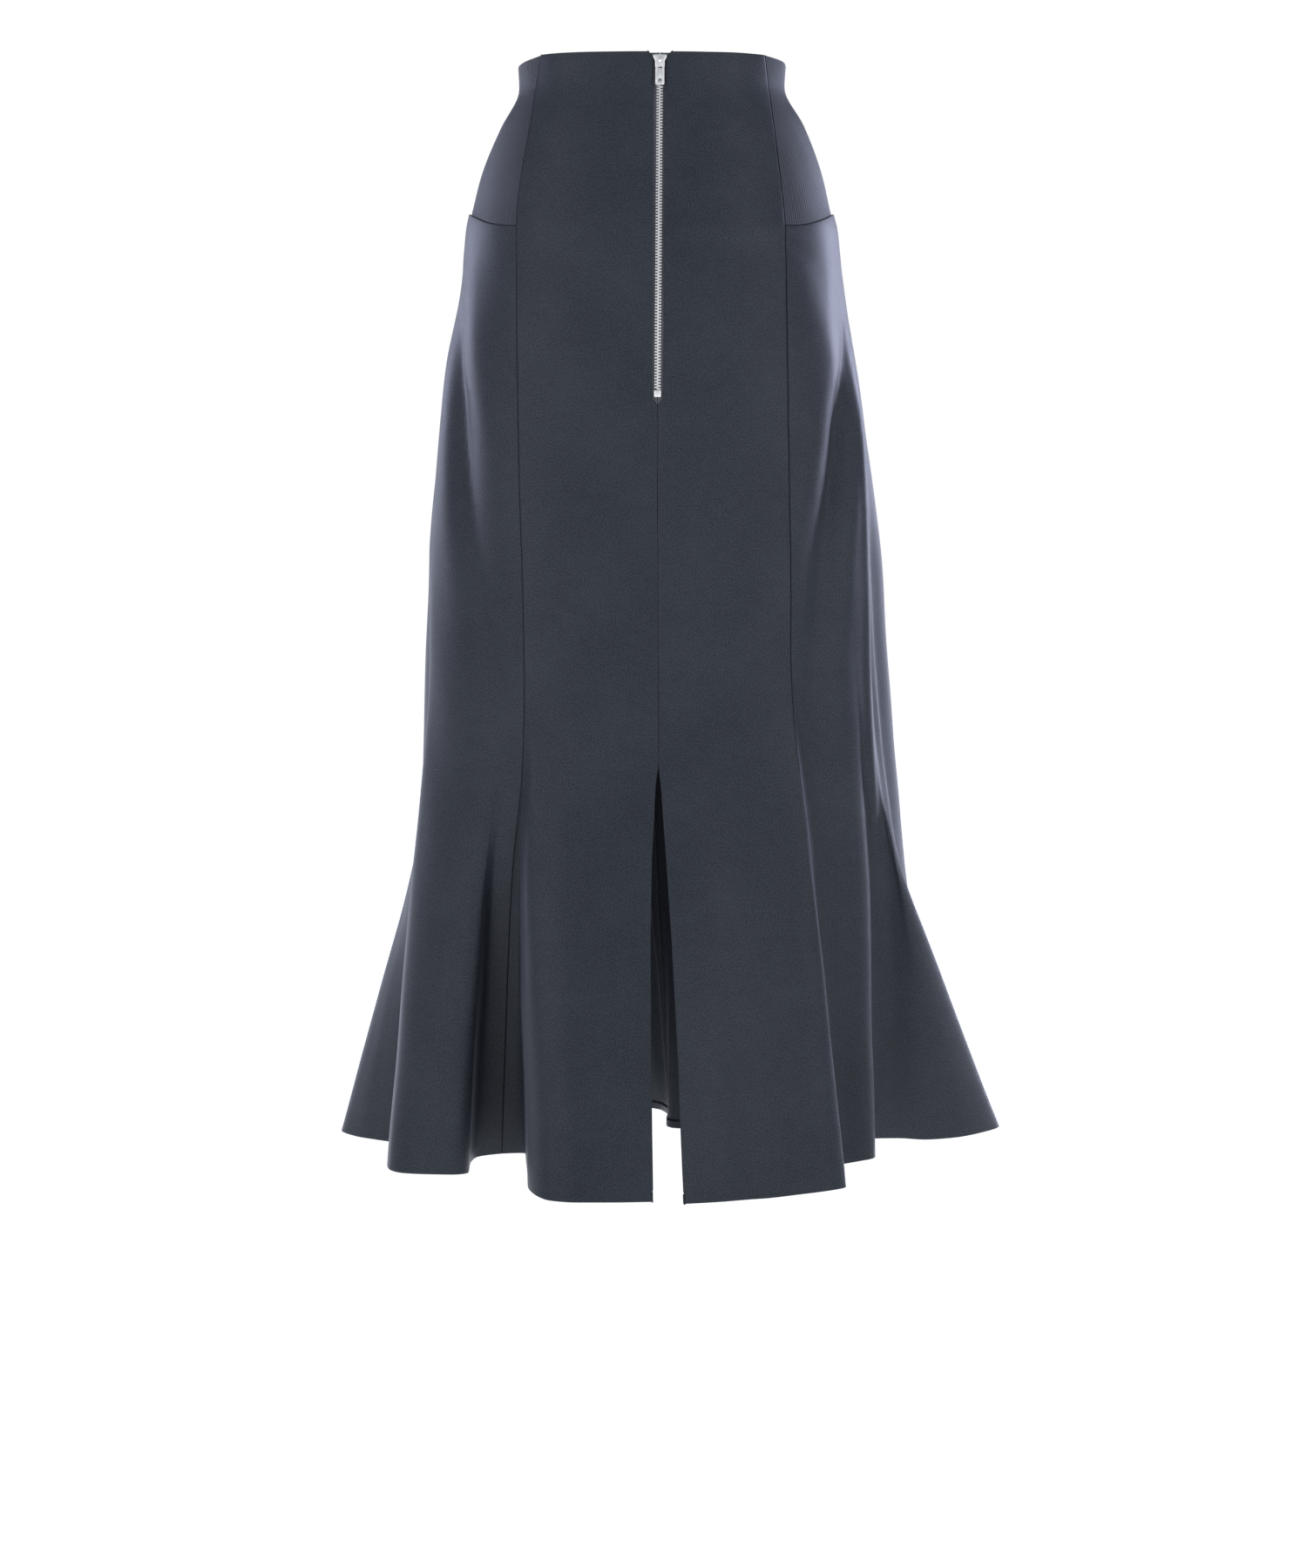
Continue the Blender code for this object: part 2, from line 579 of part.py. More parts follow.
def rounded_rectangle(width, low, high, corner, steps=5):
    """Outline of a rectangle from low to high, with round corners."""
    half = width / 2 - corner
    upper, lower = high - corner, low + corner
    centres = ((half, upper, 0), (-half, upper, 90), (-half, lower, 180), (half, lower, 270))
    points = []
    for x, y, first in centres:
        for i in range(steps + 1):
            turn = math.radians(first + 90 * i / steps)
            points.append((x + corner * math.cos(turn), y + corner * math.sin(turn)))
    return points


def pull_tab(frame):
    """The flat pull tab on its top bar, with a long slot round the bridge and a round hole near its end."""
    width, length, thickness = TAB_SIZE
    top = TAB_BAR / 2
    low = top - length
    curve = bpy.data.curves.new("pull_tab", "CURVE")
    curve.dimensions = "2D"
    curve.fill_mode = "BOTH"
    curve.extrude = thickness / 2
    outline_spline(curve, rounded_rectangle(width, low, top, TAB_CORNER))
    slot_width, slot_length = TAB_SLOT
    outline_spline(curve, rounded_rectangle(slot_width, -top - slot_length, -top, TAB_SLOT_CORNER, steps=3))
    turns = np.linspace(0, 2 * math.pi, TAB_HOLE_STEPS, endpoint=False)
    hole_z = low + TAB_HOLE_RISE
    outline_spline(curve, [
        (TAB_HOLE_RADIUS * math.cos(turn), hole_z + TAB_HOLE_RADIUS * math.sin(turn)) for turn in turns
    ])
    flat = bpy.data.objects.new("pull_tab_outline", curve)
    skirt.objects.link(flat)
    graph = bpy.context.evaluated_depsgraph_get()
    data = bpy.data.meshes.new_from_object(flat.evaluated_get(graph))
    bpy.data.objects.remove(flat)
    mesh = bmesh.new()
    mesh.from_mesh(data)
    bmesh.ops.remove_doubles(mesh, verts=mesh.verts, dist=WELD)
    upright = Matrix.Rotation(math.pi / 2, 3, "X")
    bmesh.ops.rotate(mesh, verts=mesh.verts, cent=(0, 0, 0), matrix=upright)
    tab = add_object("zip_pull_tab", mesh, METAL)
    tab.parent = frame
    return tab


def make_zip():
    """Both tapes, the chain between them, its bottom stop, and the slider with its tab."""
    tape_depth = WALL + TAPE_CLEARANCE
    half_gap = SEAM_GAP / 2
    for name, left, right in (("left", -TAPE_WIDTH, -half_gap), ("right", half_gap, TAPE_WIDTH)):
        zip_strip(
            f"zip_tape_{name}", left, right, TAPE_TOP, TAPE_BOTTOM,
            tape_depth, TAPE_THICKNESS, 3, TAPE,
        )
    half_chain = CHAIN_WIDTH / 2
    chain_top = ZIP_TOP - SLIDER_LENGTH - SEAM_GAP
    chain_bottom = ZIP_BOTTOM + STOP_SIZE[1] + SEAM_GAP
    zip_strip(
        "zip_chain", -half_chain, half_chain, chain_top, chain_bottom,
        -CHAIN_PROUD, CHAIN_THICKNESS, 2, METAL,
    )
    width, height, thickness = STOP_SIZE
    zip_strip(
        "zip_bottom_stop", -width / 2, width / 2, ZIP_BOTTOM + height, ZIP_BOTTOM,
        KEEL_DEPTH - thickness, thickness, 2, METAL,
    )
    frame = slider_frame()
    zip_slider(frame)
    pull_tab(frame)


def make_cloth():
    """The eight cut pieces: two fronts, two backs, two side panels and two knit yokes above them."""
    hip_row = LEVELS.index(HIP_SEAM / MM)
    yoke, below_hip = LEVELS[: hip_row + 1], LEVELS[hip_row:]
    cloth_panel("front_panel_right", "centre_right", "princess_right", FRONT_LEVELS, FABRIC)
    cloth_panel("rib_yoke_right", "princess_right", "back_right", yoke, KNIT)
    cloth_panel("side_panel_right", "princess_right", "back_right", below_hip, FABRIC, step_out=True)
    cloth_panel("back_panel_right", "back_right", "centre_back", LEVELS, FABRIC)
    cloth_panel("back_panel_left", "centre_back", "back_left", LEVELS, FABRIC)
    cloth_panel("rib_yoke_left", "back_left", "princess_left", yoke, KNIT)
    cloth_panel("side_panel_left", "back_left", "princess_left", below_hip, FABRIC, step_out=True)
    cloth_panel("front_panel_left", "princess_left", "centre_left", FRONT_LEVELS, FABRIC)


for old in list(bpy.data.objects):
    bpy.data.objects.remove(old)
skirt = bpy.data.collections.new("mermaid_skirt")
bpy.context.scene.collection.children.link(skirt)
make_cloth()
make_zip()
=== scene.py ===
# %% [markdown]
# # A mermaid skirt, finished over its frame
#
# The skirt is a dark stretch-crepe midi. It has knit yokes at the sides, an exposed metal zip, a walking
# slit and a hem that flares into a fishtail. The frame gives every cut piece as a plain wall. Here each
# wall is replaced by a thin sheet of cloth on the same surface, and the zip gets its teeth.

import json
import math

import bmesh
import bpy
import numpy as np
from mathutils import Matrix, Vector


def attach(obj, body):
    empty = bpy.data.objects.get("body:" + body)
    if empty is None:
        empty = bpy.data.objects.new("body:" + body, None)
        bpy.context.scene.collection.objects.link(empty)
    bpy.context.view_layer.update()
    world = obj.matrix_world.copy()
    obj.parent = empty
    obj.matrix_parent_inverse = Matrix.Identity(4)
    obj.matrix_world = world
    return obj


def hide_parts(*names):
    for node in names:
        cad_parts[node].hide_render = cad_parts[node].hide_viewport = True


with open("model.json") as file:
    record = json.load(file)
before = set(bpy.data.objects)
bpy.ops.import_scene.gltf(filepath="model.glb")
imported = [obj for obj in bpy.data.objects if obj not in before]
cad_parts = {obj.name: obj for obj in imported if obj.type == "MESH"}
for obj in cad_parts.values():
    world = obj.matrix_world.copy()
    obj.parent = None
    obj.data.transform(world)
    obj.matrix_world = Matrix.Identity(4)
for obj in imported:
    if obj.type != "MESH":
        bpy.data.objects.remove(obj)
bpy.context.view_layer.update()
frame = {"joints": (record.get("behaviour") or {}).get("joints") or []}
MM = 0.001

# %% [markdown]
# ## The camera
#
# A tall garment is best seen from its own middle height, so that its sides stay upright. A camera that is
# tipped down would make them lean. The camera here is level, and a small shift of the lens frames the whole
# skirt instead.

# %% Place the camera
CAMERA_DISTANCE = 3.3
CAMERA_HEIGHT = -0.45
LENS = 99  # mm, as is the sensor
SENSOR_WIDTH = 36
FRAME_HEIGHT = 1800  # pixels, as is the shift
FRAME_SHIFT = 150

scene = bpy.context.scene


def add_object(name, data):
    """An object in the scene that shows this data."""
    obj = bpy.data.objects.new(name, data)
    scene.collection.objects.link(obj)
    return obj


camera_data = bpy.data.cameras.new("camera")
camera_data.lens = LENS
camera_data.sensor_width = SENSOR_WIDTH
camera_data.shift_y = -FRAME_SHIFT / FRAME_HEIGHT
camera = add_object("camera", camera_data)
camera.location = (0, -CAMERA_DISTANCE, CAMERA_HEIGHT)
camera.rotation_euler = (math.radians(90), 0, 0)
scene.camera = camera
scene.view_settings.view_transform = "Standard"
print("camera", tuple(camera.location), "lens", LENS)

# %% [markdown]
# ## The studio
#
# Dark cloth shows its form by what it reflects. Two tall soft lamps stand in front, well to each side, so
# that the front is lit and the deep folds stay dark. A lamp beside the camera would light the folds too. On
# each side a narrow lamp stands a little behind the skirt and picks out the hip, and another the ridges of
# the flare. Two tall ones further back only graze the outlines.

# %% Surround it with white
BACKDROP_BRIGHTNESS = 1.0
ROOM_LIGHT = (0.36, 0.38, 0.41)

world = bpy.data.worlds.new("white_room")
world.use_nodes = True
tree = world.node_tree
room = tree.nodes["Background"]
room.inputs["Color"].default_value = (*ROOM_LIGHT, 1)
backdrop = tree.nodes.new("ShaderNodeBackground")
backdrop.inputs["Strength"].default_value = BACKDROP_BRIGHTNESS
backdrop.inputs["Color"].default_value = (1, 1, 1, 1)
seen = tree.nodes.new("ShaderNodeLightPath").outputs["Is Camera Ray"]
either = tree.nodes.new("ShaderNodeMixShader")
tree.links.new(seen, either.inputs["Fac"])
tree.links.new(room.outputs["Background"], either.inputs[1])
tree.links.new(backdrop.outputs["Background"], either.inputs[2])
tree.links.new(either.outputs["Shader"], tree.nodes["World Output"].inputs["Surface"])
scene.world = world
print("room light", ROOM_LIGHT)

# %% Set up the lamps
LAMPS = {
    "front_lamp": {"place": (1.7, -1.9, 0.5), "aim": -0.25, "size": (0.9, 1.8), "power": (15, 15),
                   "colour": (1.0, 1.0, 1.0), "spread": 180},
    "hip_lamp": {"place": (1.22, 0.70, 0.06), "aim": -0.19, "size": (0.4, 0.4), "power": (0.50, 0.84),
                 "colour": (0.70, 0.73, 1.0), "spread": 30},
    "fold_lamp": {"place": (1.28, 0.62, -0.55), "aim": -0.64, "size": (0.3, 0.3), "power": (0.08, 0.22),
                  "colour": (0.72, 0.75, 1.0), "spread": 26},
    "edge_lamp": {"place": (1.05, 1.5, -0.45), "aim": -0.45, "size": (0.3, 1.5), "power": (2.2, 4.0),
                  "colour": (0.74, 0.78, 1.0), "spread": 120},
}


def soft_lamp(name, place, aim, size, power, colour, spread):
    """A rectangle of light that points at the skirt's axis, at the height of its aim."""
    lamp_data = bpy.data.lights.new(name, "AREA")
    lamp_data.shape = "RECTANGLE"
    lamp_data.size, lamp_data.size_y = size
    lamp_data.energy = power
    lamp_data.color = colour
    lamp_data.spread = math.radians(spread)
    lamp = add_object(name, lamp_data)
    lamp.location = place
    lamp.rotation_euler = (Vector((0, 0, aim)) - lamp.location).to_track_quat("-Z", "Y").to_euler()
    lamp.visible_camera = False


for kind, lamp in LAMPS.items():
    across, behind, height = lamp["place"]
    for side, name, power in zip((-1, 1), ("left", "right"), lamp["power"]):
        soft_lamp(f"{kind}_{name}", **{**lamp, "place": (side * across, behind, height), "power": power})

# %% [markdown]
# ### The floor
#
# The floor is a pale disc, so wide that its edge is never seen. It glows a little, so that it looks as bright
# as the wall behind it and no line shows where they meet. Its paint is the first material here, and the
# function that starts it serves for the cloth and the metal as well.

# %% Lay the floor
FLOOR_LEVEL = -1.14
FLOOR_RADIUS = 40
FLOOR_SIDES = 64
FLOOR_FINISH = {
    "Base Color": (0.9, 0.9, 0.9, 1),
    "Roughness": 0.9,
    "Specular IOR Level": 0.1,
    "Emission Color": (1, 1, 1, 1),
    "Emission Strength": 0.7,
}


def new_material(name, finish):
    """A material with these inputs set on its main shader, and with them its node tree and the shader."""
    material = bpy.data.materials.new(name)
    material.use_nodes = True
    tree = material.node_tree
    shader = tree.nodes["Principled BSDF"]
    for label, value in finish.items():
        shader.inputs[label].default_value = value
    return material, tree, shader


def plain_floor():
    """A flat disc that the camera always finds under the skirt."""
    mesh = bmesh.new()
    bmesh.ops.create_circle(mesh, cap_ends=True, segments=FLOOR_SIDES, radius=FLOOR_RADIUS)
    bmesh.ops.translate(mesh, verts=mesh.verts, vec=(0, 0, FLOOR_LEVEL))
    data = bpy.data.meshes.new("floor")
    mesh.to_mesh(data)
    mesh.free()
    data.materials.append(new_material("floor_paint", FLOOR_FINISH)[0])
    return add_object("floor", data)


plain_floor()
print("floor at", FLOOR_LEVEL)

# %% [markdown]
# ## The cut of the skirt
#
# A pattern maker thinks of the skirt as horizontal sections joined by seams. The tables below say the same:
# the rounded section at each height, the front edges, the seams, and the wavy line that the hem takes. They
# are the frame's own sizes, in millimetres, so the fine cloth lands on the plain walls. Only the crease at
# the left hip is drawn a little further out and wider, and the slit closes in a slightly different way at
# its top.

# %% Sections and seams
HIP_SEAM = -130 * MM
HEM = -846.5 * MM
SECTIONS = (  # z, half sizes to the left, right, front and back, power of the rounded outline
    (0, 104.0, 101.5, 80, 75, 2.75),
    (-20, 103.2, 100.2, 82, 78, 2.75),
    (-50, 117.0, 115.0, 88, 85, 2.70),
    (-85, 130.7, 128.0, 94, 95, 2.60),
    (-115, 138.5, 135.5, 99, 104, 2.50),
    (-128, 141.8, 139.5, 101, 108, 2.50),
    (-150, 144.5, 142.5, 103, 112, 2.50),
    (-190, 151.0, 148.5, 105, 118, 2.65),
    (-230, 158.0, 155.5, 106, 120, 2.70),
    (-270, 162.7, 162.5, 107, 119, 2.65),
    (-330, 168.5, 170.0, 108, 115, 2.55),
    (-390, 172.0, 175.5, 109, 111, 2.40),
    (-450, 174.5, 179.0, 110, 108, 2.40),
    (-510, 176.0, 183.5, 112, 107, 2.40),
    (-570, 177.5, 189.0, 115, 108, 2.40),
    (-640, 179.0, 193.0, 118, 110, 2.40),
    (-860, 179.0, 193.0, 118, 110, 2.40),
)
FRONT_EDGES = (  # z, right x, left x
    (0, 13.5, -3.5),
    (-5, 8.9, 0.3),
    (-14, 8.7, 0.1),
    (-261, 7.15, -1.35),
    (-265, 3.0, 3.0),
    (-534, 3.5, 3.5),
    (-548, 5.3, 1.6),
    (-570, 6.8, 0.7),
    (-600, 9.0, -1.0),
    (-660, 13.0, -2.0),
    (-750, 17.5, -1.6),
    (-860, 22.0, 0.0),
)
SEAMS = (  # z, x of princess_right and princess_left, angle of back_right and back_left in degrees
    (0, 84.0, -84.5, 40, 140),
    (-50, 90.0, -92.0, 44, 136),
    (-130, 98.5, -102.5, 48, 132),
    (-200, 99.5, -102.0, 50, 130),
    (-300, 101.0, -100.0, 52, 128),
    (-400, 103.0, -97.5, 53, 127),
    (-460, 104.0, -96.5, 54, 126),
    (-535, 106.0, -97.5, 54, 126),
    (-600, 108.0, -102.0, 54, 126),
    (-660, 110.0, -104.0, 54, 126),
    (-860, 113.0, -106.0, 54, 126),
)
CENTRE_BACK = 90  # degrees
print("sections", len(SECTIONS), "seam rows", len(SEAMS))

# %% The wavy hem
HEM_FOLDS = (  # seam, x, y, lift of the hem, share of the panel's width, level where the wave starts
    ("centre_right", 22, -195, 0, 0.00, -540),
    ("", 48, -184, 0, 0.22, -540),
    ("", 78, -166, 0, 0.48, -540),
    ("", 108, -156, 2, 0.74, -530),
    ("", 130, -149, 4, 0.92, -515),
    ("princess_right", 141, -137, 5, 0.00, -505),
    ("", 140, -100, 8, 0.010, -515),
    ("", 136, -66, 9, 0.020, -525),
    ("", 137, -50, 10, 0.032, -530),
    ("", 149, -46, 12, 0.09, -520),
    ("", 161, -46, 14, 0.155, -508),
    ("", 168, -37, 15, 0.195, -500),
    ("", 167, -12, 17, 0.208, -510),
    ("", 162, 20, 19, 0.218, -530),
    ("", 163, 38, 20, 0.232, -545),
    ("", 176, 45, 20, 0.255, -555),
    ("", 190, 46, 20, 0.275, -560),
    ("", 210, 45, 19, 0.29, -570),
    ("", 232, 48, 20, 0.305, -588),
    ("", 252, 59, 22, 0.32, -598),
    ("", 272, 88, 25, 0.345, -606),
    ("", 248, 118, 27, 0.45, -640),
    ("", 216, 128, 28, 0.58, -650),
    ("", 198, 142, 30, 0.76, -600),
    ("back_right", 195, 170, 31, 0.00, -560),
    ("", 190, 200, 31, 0.10, -540),
    ("", 168, 213, 30, 0.24, -530),
    ("", 132, 202, 30, 0.38, -530),
    ("", 94, 166, 28, 0.51, -560),
    ("", 62, 126, 24, 0.63, -600),
    ("", 38, 104, 22, 0.74, -600),
    ("", 18, 100, 22, 0.84, -600),
    ("", 11.5, 108, 23, 0.91, -590),
    ("centre_back", 14, 140, 26, 0.00, -560),
    ("", 7, 172, 29, 0.10, -540),
    ("", -10, 186, 30, 0.20, -530),
    ("", -32, 191, 30, 0.28, -530),
    ("", -56, 187, 30, 0.37, -530),
    ("", -80, 165, 29, 0.48, -545),
    ("", -96, 142, 28, 0.58, -570),
    ("", -113, 152, 28, 0.68, -560),
    ("", -130, 184, 29, 0.78, -540),
    ("", -153, 203, 29, 0.87, -530),
    ("", -178, 190, 28, 0.94, -540),
    ("back_left", -192, 158, 26, 0.00, -560),
    ("", -207, 132, 25, 0.15, -600),
    ("", -229, 112, 24, 0.28, -590),
    ("", -245.5, 85, 22, 0.38, -585),
    ("", -233, 62, 20, 0.43, -585),
    ("", -214, 44, 19, 0.47, -570),
    ("", -196, 28, 18, 0.50, -550),
    ("", -188, 0, 16, 0.53, -530),
    ("", -193, -25, 13, 0.57, -510),
    ("", -200.5, -48, 10, 0.61, -490),
    ("", -198, -64, 9, 0.635, -490),
    ("", -188, -77, 8, 0.68, -495),
    ("", -170, -85, 8, 0.77, -505),
    ("", -148, -88, 8, 0.88, -525),
    ("", -138, -77, 8, 0.92, -540),
    ("", -138, -52, 11, 0.938, -548),
    ("", -134, -30, 14, 0.955, -552),
    ("princess_left", -115, -24, 16, 0.00, -550),
    ("", -98, -29, 17, 0.016, -545),
    ("", -96, -60, 14, 0.028, -545),
    ("", -93.5, -110, 10, 0.046, -545),
    ("", -92, -150, 6, 0.068, -545),
    ("", -87, -166, 3, 0.09, -545),
    ("", -76, -180, 0.5, 0.16, -545),
    ("", -56, -187, 0, 0.40, -540),
    ("", -28, -187, 0, 0.70, -540),
    ("centre_left", 0, -184, 0, 1.00, -540),
)

print("hem points", len(HEM_FOLDS))

# %% Creases
CREASES = {  # (z, angle, depth) along each path
    "hip_right": ((-150, -8, 0), (-173, -14, 2), (-208, -18, 4), (-228, -21, 6), (-247, -25, 9),
                  (-267, -29, 12), (-287, -32, 14), (-324, -37, 14), (-360, -42, 12), (-404, -46, 9),
                  (-470, -50, 6), (-550, -51, 3), (-620, -51, 0)),
    "hip_left": ((-150, 182, 0), (-175, 186, 3), (-195, 190, 6), (-215, 194, 9), (-240, 199, 11),
                 (-260, 203, 12), (-280, 206, 12), (-324, 213, 10), (-360, 218, 7), (-410, 225, 4),
                 (-480, 231, 2), (-560, 235, 1), (-620, 236, 0)),
    "side_fold_right": ((-240, -4, 0), (-320, -7, 5), (-400, -9, 8), (-500, -10, 9), (-580, -11, 8),
                        (-660, -11, 0)),
    "side_fold_left": ((-370, 186, 0), (-450, 187, 4), (-550, 188, 6), (-640, 188, 0)),
    "seat_right": ((-230, 72, 0), (-320, 66, 7), (-430, 60, 9), (-530, 58, 5), (-610, 57, 0)),
    "seat_left": ((-250, 104, 0), (-350, 113, 8), (-460, 120, 8), (-550, 123, 4), (-620, 124, 0)),
    "side_back_right": ((-260, 22, 0), (-360, 26, 5), (-500, 30, 7), (-630, 31, 0)),
    "side_back_left": ((-240, 158, 0), (-340, 155, 6), (-470, 151, 6), (-600, 150, 0)),
}
CREASE_WIDTHS = {"hip_right": (16, 12), "hip_left": (14, 23)}  # degrees, below and above the path
CREASE_WIDTH = (11, 11)
CREASE_ROUNDING = 0.15  # share of the width over which a crease's bottom is rounded
print("creases", len(CREASES))

# %% [markdown]
# ## From tables to a surface
#
# The tables only give a few rows, so a smooth curve runs through each column. The curve mustn't swing past
# its points, or the skirt would bulge between rows. A curve whose slope is the harmonic mean of its
# neighbours keeps to that, and it is short enough to write out.

# %% A smooth curve through a table
def smooth(xs, ys):
    """The curve through these points, as a function of x that gives a value for each column of ys."""
    xs = np.asarray(xs, float)
    ys = np.asarray(ys, float).reshape(len(xs), -1)
    step = np.diff(xs)[:, None]
    chord = np.diff(ys, axis=0) / step
    before, after = chord[:-1], chord[1:]
    same_way = before * after > 0
    mean = 2 * before * after / np.where(same_way, before + after, 1)
    slope = np.vstack([chord[:1], np.where(same_way, mean, 0), chord[-1:]])

    def at(x):
        x = np.clip(np.asarray(x, float), xs[0], xs[-1])
        row = np.clip(np.searchsorted(xs, x, side="right") - 1, 0, len(xs) - 2)
        length = step[row, 0]
        t = ((x - xs[row]) / length)[..., None]
        length = length[..., None]
        return (
            (1 + 2 * t) * (1 - t) ** 2 * ys[row]
            + t * (1 - t) ** 2 * length * slope[row]
            + t * t * (3 - 2 * t) * ys[row + 1]
            + t * t * (t - 1) * length * slope[row + 1]
        )

    return at


def from_table(rows):
    """The curve through a table whose rows run downwards, as a function of the height in metres."""
    rows = np.array(rows, float)[::-1]
    return smooth(rows[:, 0] * MM, rows[:, 1:])


section_at = from_table(SECTIONS)
seam_at = from_table(SEAMS)
edge_z, *edge_x = np.array(FRONT_EDGES[::-1]).T * MM
crease_paths = {name: from_table(path) for name, path in CREASES.items()}
print("section at the hip", section_at(HIP_SEAM).round(1).tolist())

# %% Run round the hem
hem_names = [row[0] for row in HEM_FOLDS]
hem_rows = np.array([row[1:] for row in HEM_FOLDS], float)
hem_run = np.concatenate([[0], np.cumsum(np.hypot(*np.diff(hem_rows[:, :2], axis=0).T))]) * MM
SEAM_RUN = {name: hem_run[i] for i, name in enumerate(hem_names) if name}
SEAM_ORDER = list(SEAM_RUN)
hem_at = smooth(hem_run, hem_rows[:, [0, 1, 2, 4]] * MM)
running_share = hem_rows[:, 3].copy()
running_share[[i for i, name in enumerate(hem_names) if name]] = 0
running_share += np.cumsum([bool(name) for name in hem_names]) - 1
share_at = smooth(hem_run, running_share)
print("hem", round(hem_run[-1], 3), "m round")

# %% Angles of the seams
def angle_at_x(x, z):
    """Where on its section the skirt's front has this x: 0 is the right side, and -90 degrees the front."""
    left, right, _, _, power = np.moveaxis(section_at(z), -1, 0)
    half = np.where(x < 0, left, right) * MM
    across = np.clip(np.abs(x) / half, 0, 1) ** (power / 2)
    angle = -np.arccos(across)
    return np.where(x < 0, -math.pi - angle, angle)


def seam_angles(z):
    """The angle of each seam at these heights, from the right front edge round the back to the left one."""
    centre_right, centre_left = (np.interp(z, edge_z, x) for x in edge_x)
    princess_right, princess_left, back_right, back_left = np.moveaxis(seam_at(z), -1, 0)
    right = [angle_at_x(x, z) for x in (centre_right, princess_right * MM)]
    left = [angle_at_x(x, z) + 2 * math.pi for x in (princess_left * MM, centre_left)]
    back = [np.radians(angle) for angle in (back_right, np.full_like(z, CENTRE_BACK), back_left)]
    return np.stack(right + back + left)


def angle_at(run, z):
    """The angle at which a line that ends at this run of the hem crosses a level."""
    seams = seam_angles(z)
    share = share_at(run)[..., 0]
    panel = np.clip(np.floor(share).astype(int), 0, len(SEAM_ORDER) - 2)
    part = share - panel
    start = np.take_along_axis(seams, panel[None], 0)[0]
    end = np.take_along_axis(seams, panel[None] + 1, 0)[0]
    return start + part * (end - start)


print("centre seam at", np.degrees(seam_angles(np.array([HIP_SEAM]))[0]).round(1).tolist(), "degrees")

# %% Points of a creased section
def section_point(angle, z):
    """The point at this angle of the rounded section at this height, with the creases pressed in."""
    left, right, front, back, power = np.moveaxis(section_at(z), -1, 0)
    aside, ahead = np.cos(angle), np.sin(angle)
    x = np.sign(aside) * np.abs(aside) ** (2 / power) * np.where(aside < 0, left, right) * MM
    y = np.sign(ahead) * np.abs(ahead) ** (2 / power) * np.where(ahead < 0, front, back) * MM
    depth = np.zeros_like(x)
    for name, path in crease_paths.items():
        centre, deep = np.moveaxis(path(z), -1, 0)
        off = (np.degrees(angle) - centre + 180) % 360 - 180
        below, above = CREASE_WIDTHS.get(name, CREASE_WIDTH)
        away = np.hypot(off / np.where(off < 0, below, above), CREASE_ROUNDING) - CREASE_ROUNDING
        edge = math.hypot(1, CREASE_ROUNDING) - CREASE_ROUNDING
        depth += deep * MM * np.clip(1 - away / edge, 0, 1) ** 2
    inward = 1 - depth / np.hypot(x, y)
    return np.stack([x * inward, y * inward], -1)


print("front of the hip at", section_point(-math.pi / 2, np.array(HIP_SEAM)).round(3).tolist())

# %% Ease the folds, the hip and the rim
FOLD_SOFTNESS = 18 * MM
RIM_DIPS = {1: 2.2 * MM, 4: 4.0 * MM}  # by the yoke's place among the panels
RIM_DIP_POWER = 0.6
RIM_DIP_REACH = 40 * MM


def eased(below):
    """Grows from nothing, and after a soft start as fast as the distance below."""
    return FOLD_SOFTNESS * np.logaddexp(0, below / FOLD_SOFTNESS)


def side_share(run):
    """1 in the middle of a side panel or yoke, falling to 0 at its seams and everywhere else."""
    share = share_at(run)[..., 0]
    on_side = ((share >= 1) & (share <= 2)) | ((share >= 4) & (share <= 5))
    return np.where(on_side, np.sin(math.pi * share) ** 2, 0)


def rim_dip(run, level):
    """How far the stretchy rim of a yoke sags below the stiffer corners of the panels beside it."""
    share = share_at(run)[..., 0]
    dip = sum(
        depth * np.sin(math.pi * np.clip(share - panel, 0, 1)) ** RIM_DIP_POWER
        for panel, depth in RIM_DIPS.items()
    )
    return dip * np.clip(1 + level / RIM_DIP_REACH, 0, 1) ** 2


print("rims sag by", [round(depth / MM, 1) for depth in RIM_DIPS.values()], "mm")

# %% Points of the skirt
HIP_SEAM_RISE = 15 * MM
HIP_SEAM_TOP = -300 * MM  # below this level no row bends with the hip seam
HIP_STEP = 2.2 * MM
HIP_STEP_FADE = 30 * MM
LIFT_START = -500 * MM
LIFT_POWER = 1.6


def skirt_points(run, level, step_out=False):
    """Points of the outer face. Each level bends with the hip seam, the rim and the lifted hem."""
    hem_x, hem_y, lift, start = np.moveaxis(hem_at(run), -1, 0)
    side = side_share(run)
    near_hip = np.interp(level, [HIP_SEAM_TOP, HIP_SEAM, 0], [0, 1, 0])
    rise = HIP_SEAM_RISE * side * near_hip ** 2 * (3 - 2 * near_hip)
    lifted = np.clip((LIFT_START - level) / (LIFT_START - HEM), 0, 1) ** LIFT_POWER
    z = level + rise + lift * lifted - rim_dip(run, level)
    straight = section_point(angle_at(run, z), z)
    hem_z = np.full_like(z, HEM) + lift
    base = section_point(angle_at(run, hem_z), hem_z)
    at_rim = eased(start)
    grown = (eased(start - level) - at_rim) / (eased(start - HEM) - at_rim)
    away = np.stack([hem_x, hem_y], -1) - base
    flat = straight + grown[..., None] * away
    if step_out:
        out = HIP_STEP * side * np.exp((level - HIP_SEAM) / HIP_STEP_FADE)
        flat = flat * (1 + out / np.linalg.norm(flat, axis=-1))[..., None]
    return np.concatenate([flat, z[..., None]], -1)


rim = skirt_points(np.linspace(0, hem_run[-1], 500), np.zeros(500))
print("waist", round(np.linalg.norm(np.diff(rim, axis=0), axis=-1).sum(), 3), "m round")

# %% Directions of the cloth
DIRECTION_STEP = 0.5 * MM


